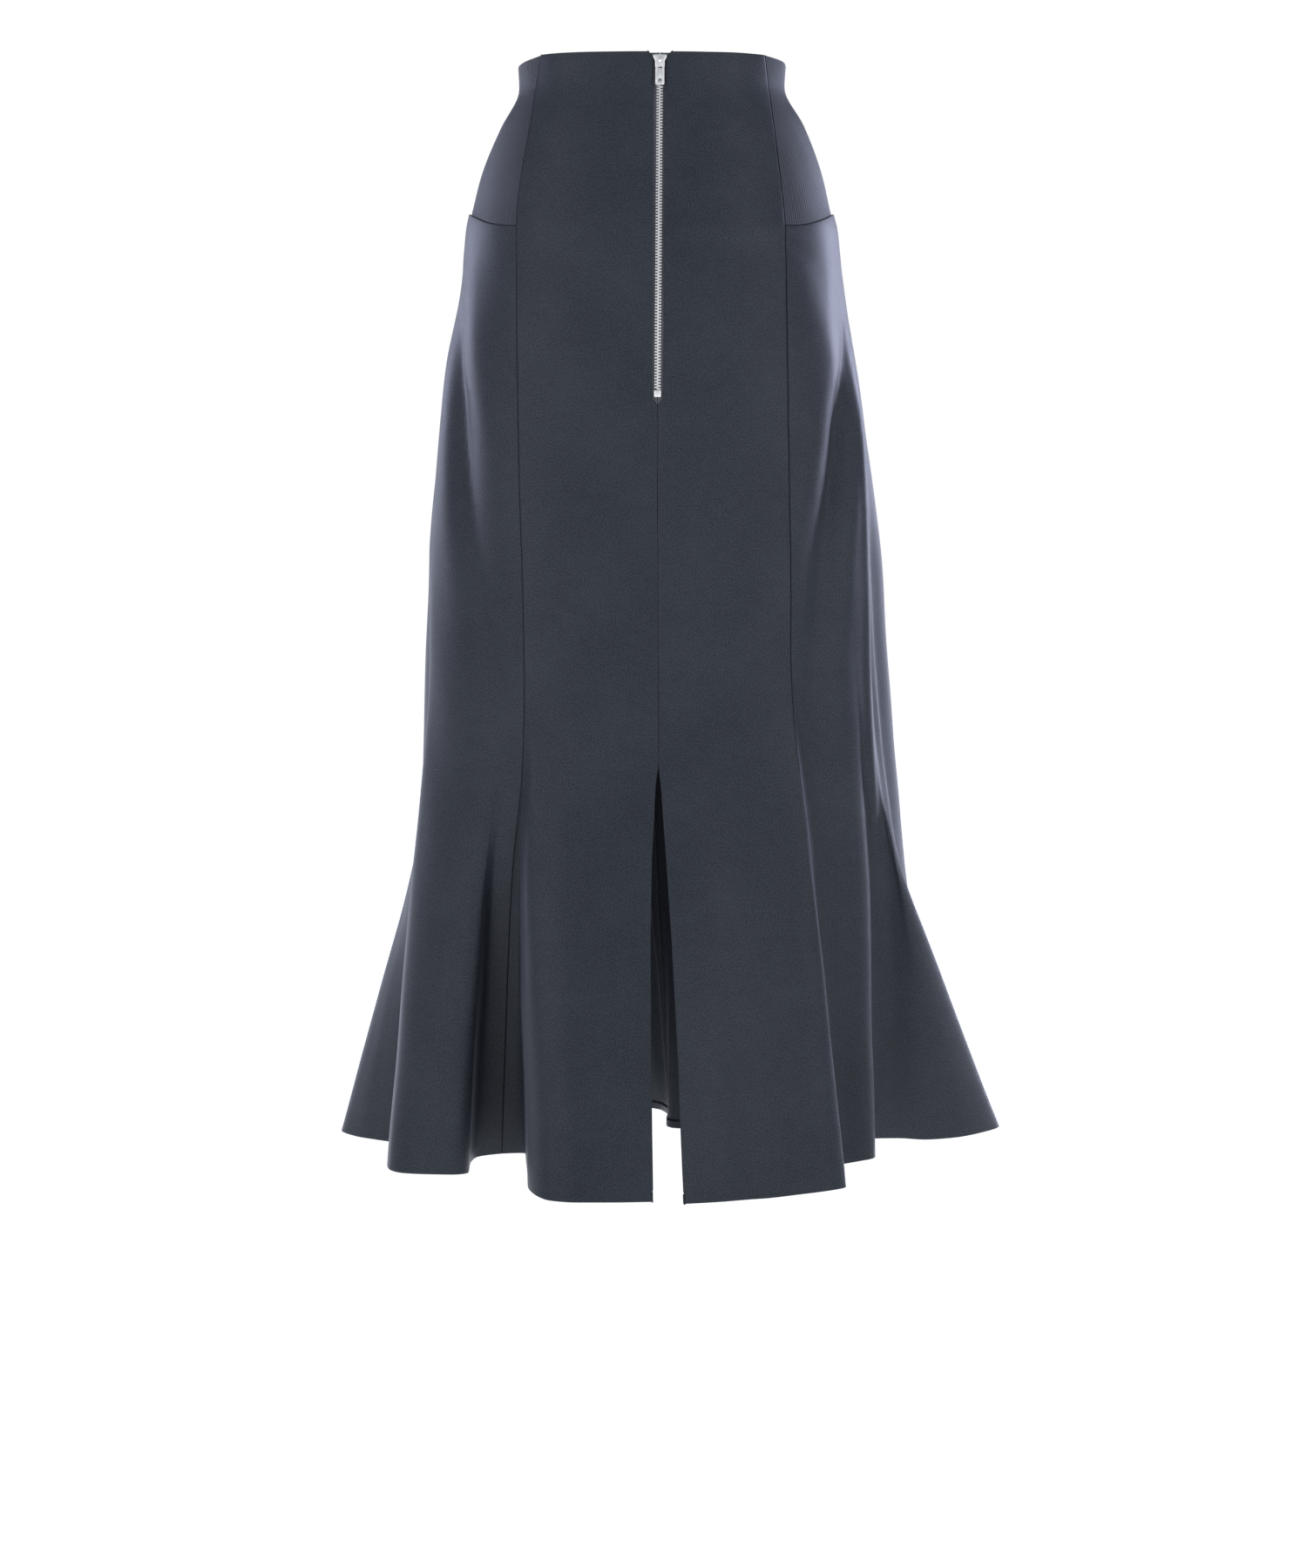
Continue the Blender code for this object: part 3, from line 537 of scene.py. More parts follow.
def unit(vectors):
    return vectors / np.linalg.norm(vectors, axis=-1, keepdims=True)


def skirt_frame(run, level, step_out=False):
    """Points of the outer face, with the directions along the hem and out of the cloth."""
    ahead = skirt_points(np.minimum(run + DIRECTION_STEP, hem_run[-1]), level, step_out)
    behind = skirt_points(np.maximum(run - DIRECTION_STEP, 0), level, step_out)
    above = skirt_points(run, np.minimum(level + DIRECTION_STEP, 0), step_out)
    below = skirt_points(run, np.maximum(level - DIRECTION_STEP, HEM), step_out)
    along = unit(ahead - behind)
    outward = unit(np.cross(along, above - below))
    return skirt_points(run, level, step_out), along, outward


def front_face(x, z):
    """Points of the front's outer face at an x and a height."""
    return np.concatenate([section_point(angle_at_x(x, z), z), z[..., None]], -1)


def front_points(x, z, depth):
    """Points set in from the front's outer face, and the way out of the cloth there."""
    outer = front_face(x, z)
    across = front_face(x + DIRECTION_STEP, z) - outer
    down = front_face(x, z - DIRECTION_STEP) - outer
    outward = unit(np.cross(down, across))
    return outer - outward * np.asarray(depth)[..., None], outward


_, facing = front_points(np.zeros(1), np.array([HIP_SEAM]), 0)
print("the front faces", facing[0].round(2).tolist())

# %% [markdown]
# ## How cloth differs from a wall
#
# A large plain panel is never quite flat. Soft troughs and ridges run over it where the cloth is drawn, and
# each has its own length, width and lean. They are listed in a table. Thread also draws the cloth a
# little, which leaves small uneven puckers beside a seam. All of these are small depths in from the
# surface, so they add up.

# %% Soft folds
SOFT_FOLDS = (  # angle, z, half length, half width, lean from level in degrees, depth; a ridge is negative
    (-112, -46, 30, 7, 8, 0.5),
    (-122, -68, 26, 8, -12, 0.45),
    (-108, -92, 34, 9, 5, 0.4),
    (-116, -137, 62, 6, 1, -0.9),
    (-118, -150, 58, 7, 2, 0.6),
    (-63, -40, 26, 7, -10, 0.5),
    (-70, -77, 32, 9, -4, 0.45),
    (-58, -104, 24, 7, 14, 0.4),
    (-66, -135, 60, 6, -1, -0.9),
    (-64, -149, 55, 7, -2, 0.6),
    (-103, -205, 45, 12, 24, 0.5),
    (-76, -218, 40, 11, -22, 0.5),
    (-118, -262, 52, 13, 38, 0.7),
    (-62, -276, 50, 12, -36, 0.7),
    (-105, -345, 70, 14, 76, 0.6),
    (-74, -372, 84, 15, -80, 0.6),
    (-120, -430, 95, 13, 84, 0.8),
    (-60, -455, 90, 14, -86, 0.8),
    (-98, -545, 60, 9, 82, 0.5),
    (-80, -560, 70, 10, -84, 0.6),
    (-47, -148, 18, 4, -24, 1.1),
    (-44, -160, 20, 5, -30, -0.7),
    (-134, -152, 16, 5, 20, 0.6),
    (-28, -205, 50, 10, 70, 0.7),
    (-12, -290, 80, 9, 80, 5.0),
    (-20.5, -290, 80, 5, 80, -1.5),
    (-19, -460, 140, 13, 86, 7.0),
    (-28, -460, 140, 5, 86, -2.0),
    (-152, -215, 46, 10, -68, 0.7),
    (4, -250, 70, 12, 78, 0.9),
    (18, -330, 90, 14, 84, 1.0),
    (38, -290, 60, 12, 62, 0.9),
    (176, -262, 66, 12, -76, 0.9),
    (160, -350, 95, 14, -84, 1.0),
    (143, -300, 64, 12, -60, 0.9),
    (60, -30, 34, 8, 6, 0.6),
    (74, -58, 42, 9, -5, 0.7),
    (106, -40, 38, 8, 7, 0.7),
    (118, -74, 44, 9, -8, 0.6),
    (84, -112, 46, 10, 10, 0.8),
    (102, -142, 50, 11, -9, 0.8),
    (70, -210, 58, 12, 30, 0.9),
    (112, -228, 60, 12, -32, 0.9),
    (80, -330, 80, 14, 66, 1.0),
    (100, -352, 84, 14, -70, 1.0),
    (68, -460, 95, 13, 82, 0.9),
    (114, -480, 90, 13, -82, 0.9),
)
WAVERS = (  # mm round, mm down, phase, depth in mm
    (190, 310, 0.4, 0.35),
    (83, 140, 2.1, 0.22),
    (47, 96, 4.4, 0.12),
)
GIRTH_RADIUS = 130 * MM


def soft_depth(run, z):
    """Depth of the soft folds and the general unevenness, in step on both sides of every seam."""
    angle = angle_at(run, z)
    around = angle * GIRTH_RADIUS
    depth = sum(
        deep * MM * np.sin(2 * math.pi * (around / (wide * MM) + z / (high * MM)) + phase)
        for wide, high, phase, deep in WAVERS
    )
    for centre, level, half_length, half_width, lean, deep in SOFT_FOLDS:
        off = around - math.radians(centre) * GIRTH_RADIUS
        up = z - level * MM
        lean = math.radians(lean)
        lengthways = (off * math.cos(lean) + up * math.sin(lean)) / (half_length * MM)
        sideways = (up * math.cos(lean) - off * math.sin(lean)) / (half_width * MM)
        depth = depth + deep * MM * np.exp(-lengthways ** 2 - sideways ** 2)
    return depth


print("soft folds", len(SOFT_FOLDS))

# %% Rolled and puckered edges
CLOTH = 0.7 * MM
ROLL = 0.35 * MM
PUCKER = 0.22 * MM
PUCKER_REACH = 7 * MM
PUCKER_LENGTHS = ((13.0, 0.0), (21.0, 1.9), (8.5, 4.0))  # mm, phase


def edge_roll(distance):
    """Depth of the rounded edge of a cut piece, a quarter circle."""
    inside = np.clip(ROLL - distance, 0, ROLL)
    return ROLL - np.sqrt(ROLL ** 2 - inside ** 2)


def seam_pucker(distance, level):
    """Depth of the uneven puckers that the thread draws, which fade away from the seam."""
    waves = sum(np.sin(2 * math.pi * level / (length * MM) + phase) for length, phase in PUCKER_LENGTHS)
    return PUCKER * waves / len(PUCKER_LENGTHS) * np.exp(-distance / PUCKER_REACH)


print("puckers up to", PUCKER / MM, "mm deep")

# %% Columns and rows that crowd towards an edge
EDGE_STEPS = np.array([0, 0.08, 0.2, 0.4, 0.8, 1.6, 3.0, 5.5, 9.0]) * MM
COLUMN_STEP = 5.0 * MM
ROW_STEP = 5.5 * MM


def crowded(first, last, step):
    """Places from first to last, close together near both ends and even between them."""
    inner_first, inner_last = first + EDGE_STEPS[-1], last - EDGE_STEPS[-1]
    count = max(2, round((inner_last - inner_first) / step))
    middle = np.linspace(inner_first, inner_last, count + 1)[1:-1]
    return np.concatenate([first + EDGE_STEPS, middle, last - EDGE_STEPS[::-1]])


print("rows from waist to hem", len(crowded(HEM, 0, ROW_STEP)))

# %% [markdown]
# ## A sheet of cloth
#
# Each cut piece is one grid: `create_grid` makes the faces, and every vertex is moved to its place on the
# skirt. Solidify then gives the cloth its thickness, inwards, so that the outer face stays where it is. The
# grid's UV map is measured in metres along the cloth, and the weave follows it.

# %% Make a sheet from rows of points
def cloth_grid(name, points, cut):
    """A grid with a vertex for each point. Its UV map holds each point's place on the flat cut piece."""
    rows, columns = points.shape[:2]
    mesh = bmesh.new()
    mesh.loops.layers.uv.new("cut")
    bmesh.ops.create_grid(mesh, x_segments=columns - 1, y_segments=rows - 1, size=1.0, calc_uvs=True)
    data = bpy.data.meshes.new(name)
    mesh.to_mesh(data)
    mesh.free()
    flat = np.empty(len(data.vertices) * 3, np.float32)
    data.vertices.foreach_get("co", flat)
    flat = flat.reshape(-1, 3)
    column = np.rint((flat[:, 0] + 1) / 2 * (columns - 1)).astype(int)
    row = np.rint((1 - flat[:, 1]) / 2 * (rows - 1)).astype(int)
    data.vertices.foreach_set("co", points[row, column].astype(np.float32).ravel())
    corners = np.empty(len(data.loops), np.int32)
    data.loops.foreach_get("vertex_index", corners)
    data.uv_layers["cut"].data.foreach_set("uv", cut[row, column][corners].astype(np.float32).ravel())
    data.shade_smooth()
    data.update()
    return add_object(name, data)


def thicken(obj, thickness):
    """Gives a sheet its thickness, inwards from the outer face."""
    wall = obj.modifiers.new("thickness", "SOLIDIFY")
    wall.thickness = thickness
    wall.offset = -1
    return obj


print("sheets so far", [data.name for data in bpy.data.meshes])

# %% Measure along the cloth
def lengths_along(points):
    """How far each point lies along its row from the row's first point."""
    steps = np.linalg.norm(np.diff(points, axis=1), axis=-1)
    return np.concatenate([np.zeros((len(points), 1)), np.cumsum(steps, 1)], 1)


def cut_map(points, top_level):
    """The cloth's own measure, in metres: across from the middle column, and down from the waist."""
    across = lengths_along(points)
    across -= across[:, across.shape[1] // 2][:, None]
    down = np.linalg.norm(np.diff(points, axis=0), axis=-1).mean(1)
    down = top_level - np.concatenate([[0], np.cumsum(down)])
    return np.stack([across, np.broadcast_to(down[:, None], across.shape)], -1)


print("the waist again, by this measure", lengths_along(rim[None])[0, -1].round(3), "m")

# %% Turn an edge under
TURN_RADIUS = 0.75 * MM
TURN_STEPS = 6
TURN_CLEARANCE = 1.5 * TURN_RADIUS  # how near to the fold a row of the flat cloth may lie
HEM_TURNING = 7 * MM
TURNING_ROWS = 4
TURNING_TRIM = 6 * MM  # length over which a side turning is trimmed away near a hem
SLIVER = 0.05  # share of a side turning's width that is left there
TURNED_LEVELS = np.linspace(2 * TURN_RADIUS, HEM_TURNING, TURNING_ROWS)  # of the inner rows, from the edge


def half_turn(centre, radius, outward, tangent):
    """Rows of points half the way round a fold, from the outer face to the inner one."""
    turns = np.linspace(0, math.pi, TURN_STEPS + 1)[1:]
    return [centre + radius * (math.cos(turn) * outward + math.sin(turn) * tangent) for turn in turns]


def turned_rows(points, outward, tangent, inner_points, inner_outward):
    """Rows that fold an edge under: half a turn round the fold, then back along the inside of the cloth."""
    fold = half_turn(points - outward * TURN_RADIUS, TURN_RADIUS, outward, tangent)
    inside = inner_points - inner_outward * 2 * TURN_RADIUS
    return np.concatenate([np.array(fold), inside])


def trimmed(levels, top, bottom):
    """1 where a side turning keeps its full width, falling to a sliver beside the turned top and hem."""
    from_end = np.minimum(top - levels, levels - bottom) - HEM_TURNING
    return np.clip(from_end / TURNING_TRIM, SLIVER, 1)


print("hem turning", HEM_TURNING / MM, "mm")

# %% [markdown]
# ## How the seams are pressed
#
# In a sewn seam the turnings have to go somewhere. Here they are pressed to one side: each piece runs on a
# little way under its neighbour, and the neighbour's folded edge lies over it. That also keeps the light
# from shining through the seams. At the centre front, beside the zip and down the slit, both edges fold
# back under themselves.

# %% Find the places beside a seam
UNDERLAP_STEPS = np.array([0.25, 0.8, 1.6, 3.0, 5.0, 8.0]) * MM
SEAM_GAP = 0.14 * MM
CENTRE_SEAM = (-534 * MM, -265 * MM)  # sewn between the slit and the zip
PAST_REACH = 260 * MM
PAST_SAMPLES = 240


def runs_beside(seam, levels, distances, direction):
    """Runs that lie these distances from a seam at each level, measured along the cloth."""
    probe = SEAM_RUN[seam] + direction * PAST_REACH * np.linspace(0, 1, PAST_SAMPLES) ** 2
    probe = np.clip(probe, 0, hem_run[-1])
    lengths = lengths_along(skirt_points(*np.meshgrid(probe, levels)))
    return np.array([np.interp(wanted, row, probe) for wanted, row in zip(distances, lengths)])


def gap_at(levels, free_edge):
    """The gap at an edge. Two free edges press against each other where the centre seam is sewn."""
    sewn = free_edge & (levels > CENTRE_SEAM[0]) & (levels < CENTRE_SEAM[1])
    return np.where(sewn, -SEAM_GAP, SEAM_GAP)[:, None]


print("turnings", UNDERLAP_STEPS[-1] / MM, "mm wide")

# %% Lay out the surface of a piece
UNDERLAP_DEPTH = 1.3 * MM
UNDERLAP_SLOPE = 0.6 * MM


def panel_surface(runs, levels, step_out, under, trim, roll=True, free_first=False, free_last=False):
    """
    Points and outward directions of a piece, a row at each level. With a seam named in under, extra columns
    carry the cloth on beneath the piece beyond that seam. A free edge is held back by its own fold's radius.
    """
    held_back = np.full((len(levels), 1), TURN_RADIUS)
    run = np.broadcast_to(runs, (len(levels), np.shape(runs)[-1]))
    level = np.broadcast_to(levels[:, None], run.shape)
    if free_first:
        back = runs_beside(SEAM_ORDER[0], levels, held_back, 1)
        run = back + (run - runs[0]) * (runs[-1] - back) / (runs[-1] - runs[0])
    if free_last:
        back = runs_beside(SEAM_ORDER[-1], levels, held_back, -1)
        run = runs[0] + (run - runs[0]) * (back - runs[0]) / (runs[-1] - runs[0])
    own = run.shape[1]
    if under:
        distances = trim[:, None] * UNDERLAP_STEPS
        run = np.hstack([run, runs_beside(under, levels, distances, 1)])
        level = np.hstack([level, np.broadcast_to(level[:, :1], distances.shape)])
    outer, along, outward = skirt_frame(run, level, step_out)
    from_first = lengths_along(outer)
    from_last = from_first[:, own - 1:own] - from_first
    from_edge = np.minimum(from_first, np.abs(from_last))
    depth = soft_depth(run, outer[..., 2]) + seam_pucker(from_edge, level)
    if roll and not free_first:
        depth += edge_roll(from_first)
    if under:
        down = np.clip(1 - from_last / UNDERLAP_SLOPE, 0, 1)
        depth += UNDERLAP_DEPTH * down ** 2 * (3 - 2 * down)
    elif roll and not free_last:
        depth += edge_roll(from_last)
    shift = np.zeros_like(outer)
    shift[:, 0] += along[:, 0] * gap_at(levels, free_first) / 2
    if not under:
        shift[:, -1] -= along[:, -1] * gap_at(levels, free_last) / 2
    return outer + shift - outward * depth[..., None], outward


hip_runs = np.linspace(0, SEAM_RUN["princess_right"])
hip_row, _ = panel_surface(hip_runs, np.array([HIP_SEAM]), False, None, None)
print("right front at the hip", (lengths_along(hip_row)[0, -1] / MM).round(1), "mm wide")

# %% Fold a free edge back
OPENED_BY = 4  # how much sooner than its turning narrows a side fold keeps its full radius
NO_TURNING = 0.001  # of a side fold's share where the top or hem is already turned


def fold_back(sheet, outward, trim, side):
    """Adds the columns that turn a free edge under, at the first column (side -1) or the last (side 1)."""
    edge, inner = (0, 1) if side < 0 else (-1, -2)
    points, normal = sheet[:, edge], outward[:, edge]
    tangent = unit(points - sheet[:, inner])
    tangent = unit(tangent - normal * (tangent * normal).sum(-1, keepdims=True))
    radius = TURN_RADIUS * np.clip(trim * OPENED_BY, SLIVER, 1)[:, None]
    folds = half_turn(points - normal * radius, radius, normal, tangent)
    folds += [folds[-1] - tangent * reach * trim[:, None] for reach in UNDERLAP_STEPS[1:]]
    folds = np.stack(folds, 1)
    if side < 0:
        return np.concatenate([folds[:, ::-1], sheet], 1)
    return np.concatenate([sheet, folds], 1)


print("columns in a fold", TURN_STEPS + len(UNDERLAP_STEPS) - 1)

# %% Cut one panel
def cut_panel(name, first_seam, last_seam, top, bottom, step_out):
    """A panel from seam to seam, turned at its top and hem, and folded back at a free edge."""
    free_first, free_last = first_seam == SEAM_ORDER[0], last_seam == SEAM_ORDER[-1]
    under = None if free_last else last_seam
    runs = crowded(SEAM_RUN[first_seam], SEAM_RUN[last_seam], COLUMN_STEP)
    levels = crowded(bottom, top, ROW_STEP)[::-1]
    between = (levels < top - TURN_CLEARANCE) & (levels > bottom + TURN_CLEARANCE)
    levels = np.concatenate([[top - TURN_RADIUS], levels[between], [bottom + TURN_RADIUS]])

    def surface(some_levels):
        trim = trimmed(some_levels, top, bottom)
        return panel_surface(runs, some_levels, step_out, under, trim, True, free_first, free_last)

    points, outward = surface(levels)
    up, down = unit(points[0] - points[1]), unit(points[-1] - points[-2])
    top_rows = turned_rows(points[0], outward[0], up, *surface(top - TURNED_LEVELS))[::-1]
    hem_rows = turned_rows(points[-1], outward[-1], down, *surface(bottom + TURNED_LEVELS))
    sheet = np.concatenate([top_rows, points, hem_rows])
    if free_first or free_last:
        turned = (len(top_rows), len(hem_rows))
        trim = np.pad(trimmed(levels, top, bottom), turned, constant_values=NO_TURNING)
        beside_top = np.broadcast_to(outward[0], top_rows.shape)
        beside_hem = np.broadcast_to(outward[-1], hem_rows.shape)
        normals = np.concatenate([beside_top, outward, beside_hem])
        sheet = fold_back(sheet, normals, trim, -1 if free_first else 1)
    return thicken(cloth_grid(name, sheet, cut_map(sheet, top)), CLOTH)


print("a panel has", 2 * len(TURNED_LEVELS), "turned rows, and the cloth is", CLOTH / MM, "mm thick")

# %% [markdown]
# ## Materials from nodes
#
# A material in Blender is a small tree of nodes, and its main shader stands at the end. Each helper below
# adds one kind of node. Most of them return the socket that carries the result, so that a material reads as a
# few sums.

# %% Short ways to add shader nodes
def node(tree, kind, *numbered, **named):
    """Adds a node. Each input is set to its value, or linked where the value is another node's socket."""
    made = tree.nodes.new(kind)
    for place, value in [*enumerate(numbered), *named.items()]:
        if isinstance(value, bpy.types.NodeSocket):
            tree.links.new(value, made.inputs[place])
        else:
            made.inputs[place].default_value = value
    return made


def maths(tree, operation, *values):
    """The result of a sum on one or two values."""
    made = node(tree, "ShaderNodeMath", *values)
    made.operation = operation
    return made.outputs["Value"]


def noise(tree, place, scale, detail=2.0):
    return node(tree, "ShaderNodeTexNoise", Vector=place, Scale=scale, Detail=detail).outputs["Fac"]


def colour_between(tree, shader, tone, darker, lighter):
    """Colours the shader from darker, where the tone is 0, to lighter, where it is 1."""
    made = tree.nodes.new("ShaderNodeMix")
    made.data_type = "RGBA"
    tree.links.new(tone, made.inputs["Factor"])
    made.inputs["A"].default_value = (*darker, 1)
    made.inputs["B"].default_value = (*lighter, 1)
    tree.links.new(made.outputs["Result"], shader.inputs["Base Color"])


def raise_by(tree, shader, height, strength, distance):
    """Bumps the shader's surface."""
    bump = node(tree, "ShaderNodeBump", Height=height, Strength=strength, Distance=distance)
    tree.links.new(bump.outputs["Normal"], shader.inputs["Normal"])


def cloth_place(tree):
    """Where on the flat cut piece each point of the cloth lies."""
    return tree.nodes.new("ShaderNodeUVMap").outputs["UV"]


print("materials so far", [material.name for material in bpy.data.materials])

# %% [markdown]
# ### The crepe
#
# Stretch crepe is matt and slightly pebbled, from highly twisted yarn. Up close it shows crossing threads
# about 0.4 mm apart. From a distance it is almost black, with a soft grey-violet bloom where the light
# grazes it. A fine bump of threads and grain gives the first, and the shader's sheen gives the bloom.

# %% Mix the crepe
THREAD_SCALE = 2 * math.pi / 20 / (0.42 * MM)
THREAD_WAVER = 0.6
GRAIN_SCALE = 1 / (0.5 * MM)
FLECKS = (0.64, 1 / (1.3 * MM), 1.0)  # share of the tone, scale, detail
MOTTLE = (0.14, 1 / (9 * MM), 4.0)
SHADING = (0.22, 1 / (70 * MM), 2.0)
MIDDLE_TONE = 0.5
CONTRAST = 2.2
WEAVE_HEIGHT = 0.6  # beside the grain's 1
CREPE_BUMP = (0.45, 0.06 * MM)  # strength, height
CREPE_FINISH = {
    "Roughness": 0.5,
    "Specular IOR Level": 0.2,
    "Sheen Weight": 0.10,
    "Sheen Roughness": 0.32,
    "Sheen Tint": (0.78, 0.8, 1.0, 1),
}


def threads(tree, place, direction):
    """Even bands across the cloth, one to a thread, that waver a little."""
    wave = node(tree, "ShaderNodeTexWave", Vector=place, Scale=THREAD_SCALE, Distortion=THREAD_WAVER)
    wave.inputs["Detail"].default_value = 0
    wave.bands_direction = direction
    return wave.outputs["Fac"]


def patches(tree, place, share, scale, detail):
    """Noise of this scale, as this share of the tone."""
    return maths(tree, "MULTIPLY", noise(tree, place, scale, detail), share)


def crepe(name, darker, lighter):
    """Flecks, mottling and shading give the tone, and crossed threads with a grain give the bump."""
    material, tree, shader = new_material(name, CREPE_FINISH)
    place = cloth_place(tree)
    broad = maths(tree, "ADD", patches(tree, place, *MOTTLE), patches(tree, place, *SHADING))
    tone = maths(tree, "ADD", patches(tree, place, *FLECKS), broad)
    tone = maths(tree, "MULTIPLY", maths(tree, "SUBTRACT", tone, MIDDLE_TONE), CONTRAST)
    colour_between(tree, shader, maths(tree, "ADD", tone, MIDDLE_TONE), darker, lighter)
    weave = maths(tree, "MULTIPLY", threads(tree, place, "X"), threads(tree, place, "Y"))
    weave = maths(tree, "MULTIPLY", weave, WEAVE_HEIGHT)
    raise_by(tree, shader, maths(tree, "ADD", weave, noise(tree, place, GRAIN_SCALE)), *CREPE_BUMP)
    return material


crepe_cloth = crepe("stretch_crepe", (0.010, 0.013, 0.020), (0.040, 0.046, 0.059))
print("crepe thread scale", round(THREAD_SCALE))

# %% [markdown]
# ## The cut pieces
#
# Two fronts run from the waist to the hem, and two backs behind them. The side panels begin at the hip
# seam. Their top edge is turned and stands a little proud of the knit. Every panel takes the place of its
# plain wall and rides with the skirt.

# %% Cut the six crepe panels
PANELS = (  # name, first seam, last seam, top, bottom, step out, then the flat cut's width, length and area
    ("front_panel_right", "centre_right", "princess_right", 0, HEM, False, 0.150, 0.875, 0.105),
    ("front_panel_left", "princess_left", "centre_left", 0, HEM, False, 0.265, 0.875, 0.118),
    ("side_panel_right", "princess_right", "back_right", HIP_SEAM, HEM, True, 0.465, 0.775, 0.213),
    ("side_panel_left", "back_left", "princess_left", HIP_SEAM, HEM, True, 0.415, 0.740, 0.205),
    ("back_panel_right", "back_right", "centre_back", 0, HEM, False, 0.305, 0.870, 0.128),
    ("back_panel_left", "centre_back", "back_left", 0, HEM, False, 0.325, 0.865, 0.131),
)
for name, first_seam, last_seam, top, bottom, step_out, wide, long, area in PANELS:
    top_edge = top - SEAM_GAP / 2 if step_out else top
    panel = cut_panel(f"{name}_cloth", first_seam, last_seam, top_edge, bottom, step_out)
    panel.data.materials.append(crepe_cloth)
    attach(panel, "skirt")
    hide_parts(name)
    print(name, "faces", len(panel.data.polygons))

# %% [markdown]
# ## The rib-knit yokes
#
# The yokes at the hips are a fine rib knit that stretches over the body. Its ribs run down from the waist
# and fan out with the hip. They are about 1.6 mm apart, too fine for the plain walls, but a bump alone
# would leave the edges of the yoke smooth. So each rib is raised in the grid, eight columns wide.

# %% Knit the yokes
RIB_PITCH = 1.65 * MM
RIB_COLUMNS = 8
RIB_HEIGHT = 0.22 * MM
RIB_FULLNESS = 0.7  # power of the sine across a rib; below 1 makes it broad with narrow valleys
YOKE_ROW_STEP = 5 * MM
YOKE_SAMPLES = 1500
UNDER_PANEL_DEPTH = 1.5 * MM
UNDER_PANEL_SLOPE = 0.25 * MM


def knit_yoke(name, first_seam, last_seam):
    """A yoke from seam to seam. At each level its ribs share the width of the cloth evenly."""
    probe = np.linspace(SEAM_RUN[first_seam], SEAM_RUN[last_seam], YOKE_SAMPLES)

    def widths(some_levels):
        return lengths_along(skirt_points(*np.meshgrid(probe, some_levels)))

    ribs = round(widths([HIP_SEAM / 2])[0, -1] / RIB_PITCH)
    rib_count = np.linspace(0, ribs, ribs * RIB_COLUMNS + 1)

    def even_runs(some_levels):
        return np.array([np.interp(rib_count / ribs * row[-1], row, probe) for row in widths(some_levels)])

    levels = crowded(HIP_SEAM, 0, YOKE_ROW_STEP)[::-1]
    levels = levels[levels < -TURN_CLEARANCE]
    levels = np.concatenate([[-TURN_RADIUS], levels, HIP_SEAM - UNDERLAP_STEPS[1:]])

    def surface(some_levels):
        trim = trimmed(some_levels, 0, HIP_SEAM)
        return panel_surface(even_runs(some_levels), some_levels, False, last_seam, trim, roll=False)

    points, outward = surface(levels)
    rib = np.abs(np.sin(math.pi * rib_count)) ** RIB_FULLNESS * RIB_HEIGHT
    rib = np.concatenate([rib, np.zeros(len(UNDERLAP_STEPS))])
    under_panel = np.clip((HIP_SEAM + UNDER_PANEL_SLOPE - levels) / UNDER_PANEL_SLOPE, 0, 1)
    stepped = np.zeros((len(levels), len(rib)))
    stepped[:, :len(rib_count)] = HIP_STEP * side_share(even_runs(levels))
    sunk = under_panel[:, None] * np.clip(UNDER_PANEL_DEPTH - stepped, 0, None)
    points = points + outward * (rib[None] - RIB_HEIGHT - sunk)[..., None]
    up = unit(points[0] - points[1])
    folded = turned_rows(points[0], outward[0], up, *surface(-TURNED_LEVELS))[::-1]
    sheet = np.concatenate([folded, points])
    cut = cut_map(sheet, 0)
    ribs_across = np.append(rib_count * RIB_PITCH, rib_count[-1] * RIB_PITCH + UNDERLAP_STEPS)
    cut[..., 0] = ribs_across[None]
    return thicken(cloth_grid(name, sheet, cut), CLOTH), ribs


print("a rib every", RIB_PITCH / MM, "mm")

# %% Colour the knit
STITCH_HEIGHT = 1.15 * MM
STITCH_LEAN = 7.0
STITCH_DEPTH = 0.5  # beside the grain's 1
KNIT_BUMP = (0.6, 0.12 * MM)
KNIT_TONE = 0.35
KNIT_FLECK = 0.9
VALLEY_SHADE = 1.2
KNIT_FINISH = {
    "Roughness": 0.6,
    "Specular IOR Level": 0.35,
    "Sheen Weight": 0.24,
    "Sheen Roughness": 0.25,
    "Sheen Tint": (0.85, 0.86, 1.0, 1),
}


def rib_knit(name, darker, lighter):
    """Leaning stitches on each rib, and painted shade that darkens the valleys between the ribs."""
    material, tree, shader = new_material(name, KNIT_FINISH)
    place = cloth_place(tree)
    split = node(tree, "ShaderNodeSeparateXYZ", Vector=place)
    across = maths(tree, "FRACT", maths(tree, "DIVIDE", split.outputs["X"], RIB_PITCH))
    slant = maths(tree, "ABSOLUTE", maths(tree, "SUBTRACT", across, 0.5))
    down = maths(tree, "MULTIPLY", split.outputs["Y"], 2 * math.pi / STITCH_HEIGHT)
    loops = maths(tree, "SINE", maths(tree, "ADD", down, maths(tree, "MULTIPLY", slant, STITCH_LEAN)))
    relief = maths(tree, "ADD", maths(tree, "MULTIPLY", loops, STITCH_DEPTH), noise(tree, place, GRAIN_SCALE))
    raise_by(tree, shader, relief, *KNIT_BUMP)
    fleck = maths(tree, "MULTIPLY", noise(tree, place, GRAIN_SCALE, 4.0), KNIT_FLECK)
    # painted shade: the colour grows darker from each rib's crest towards the valley beside it
    painted_valley_shade = maths(tree, "MULTIPLY", slant, VALLEY_SHADE)
    tone = maths(tree, "SUBTRACT", maths(tree, "ADD", KNIT_TONE, fleck), painted_valley_shade)
    colour_between(tree, shader, tone, darker, lighter)
    return material


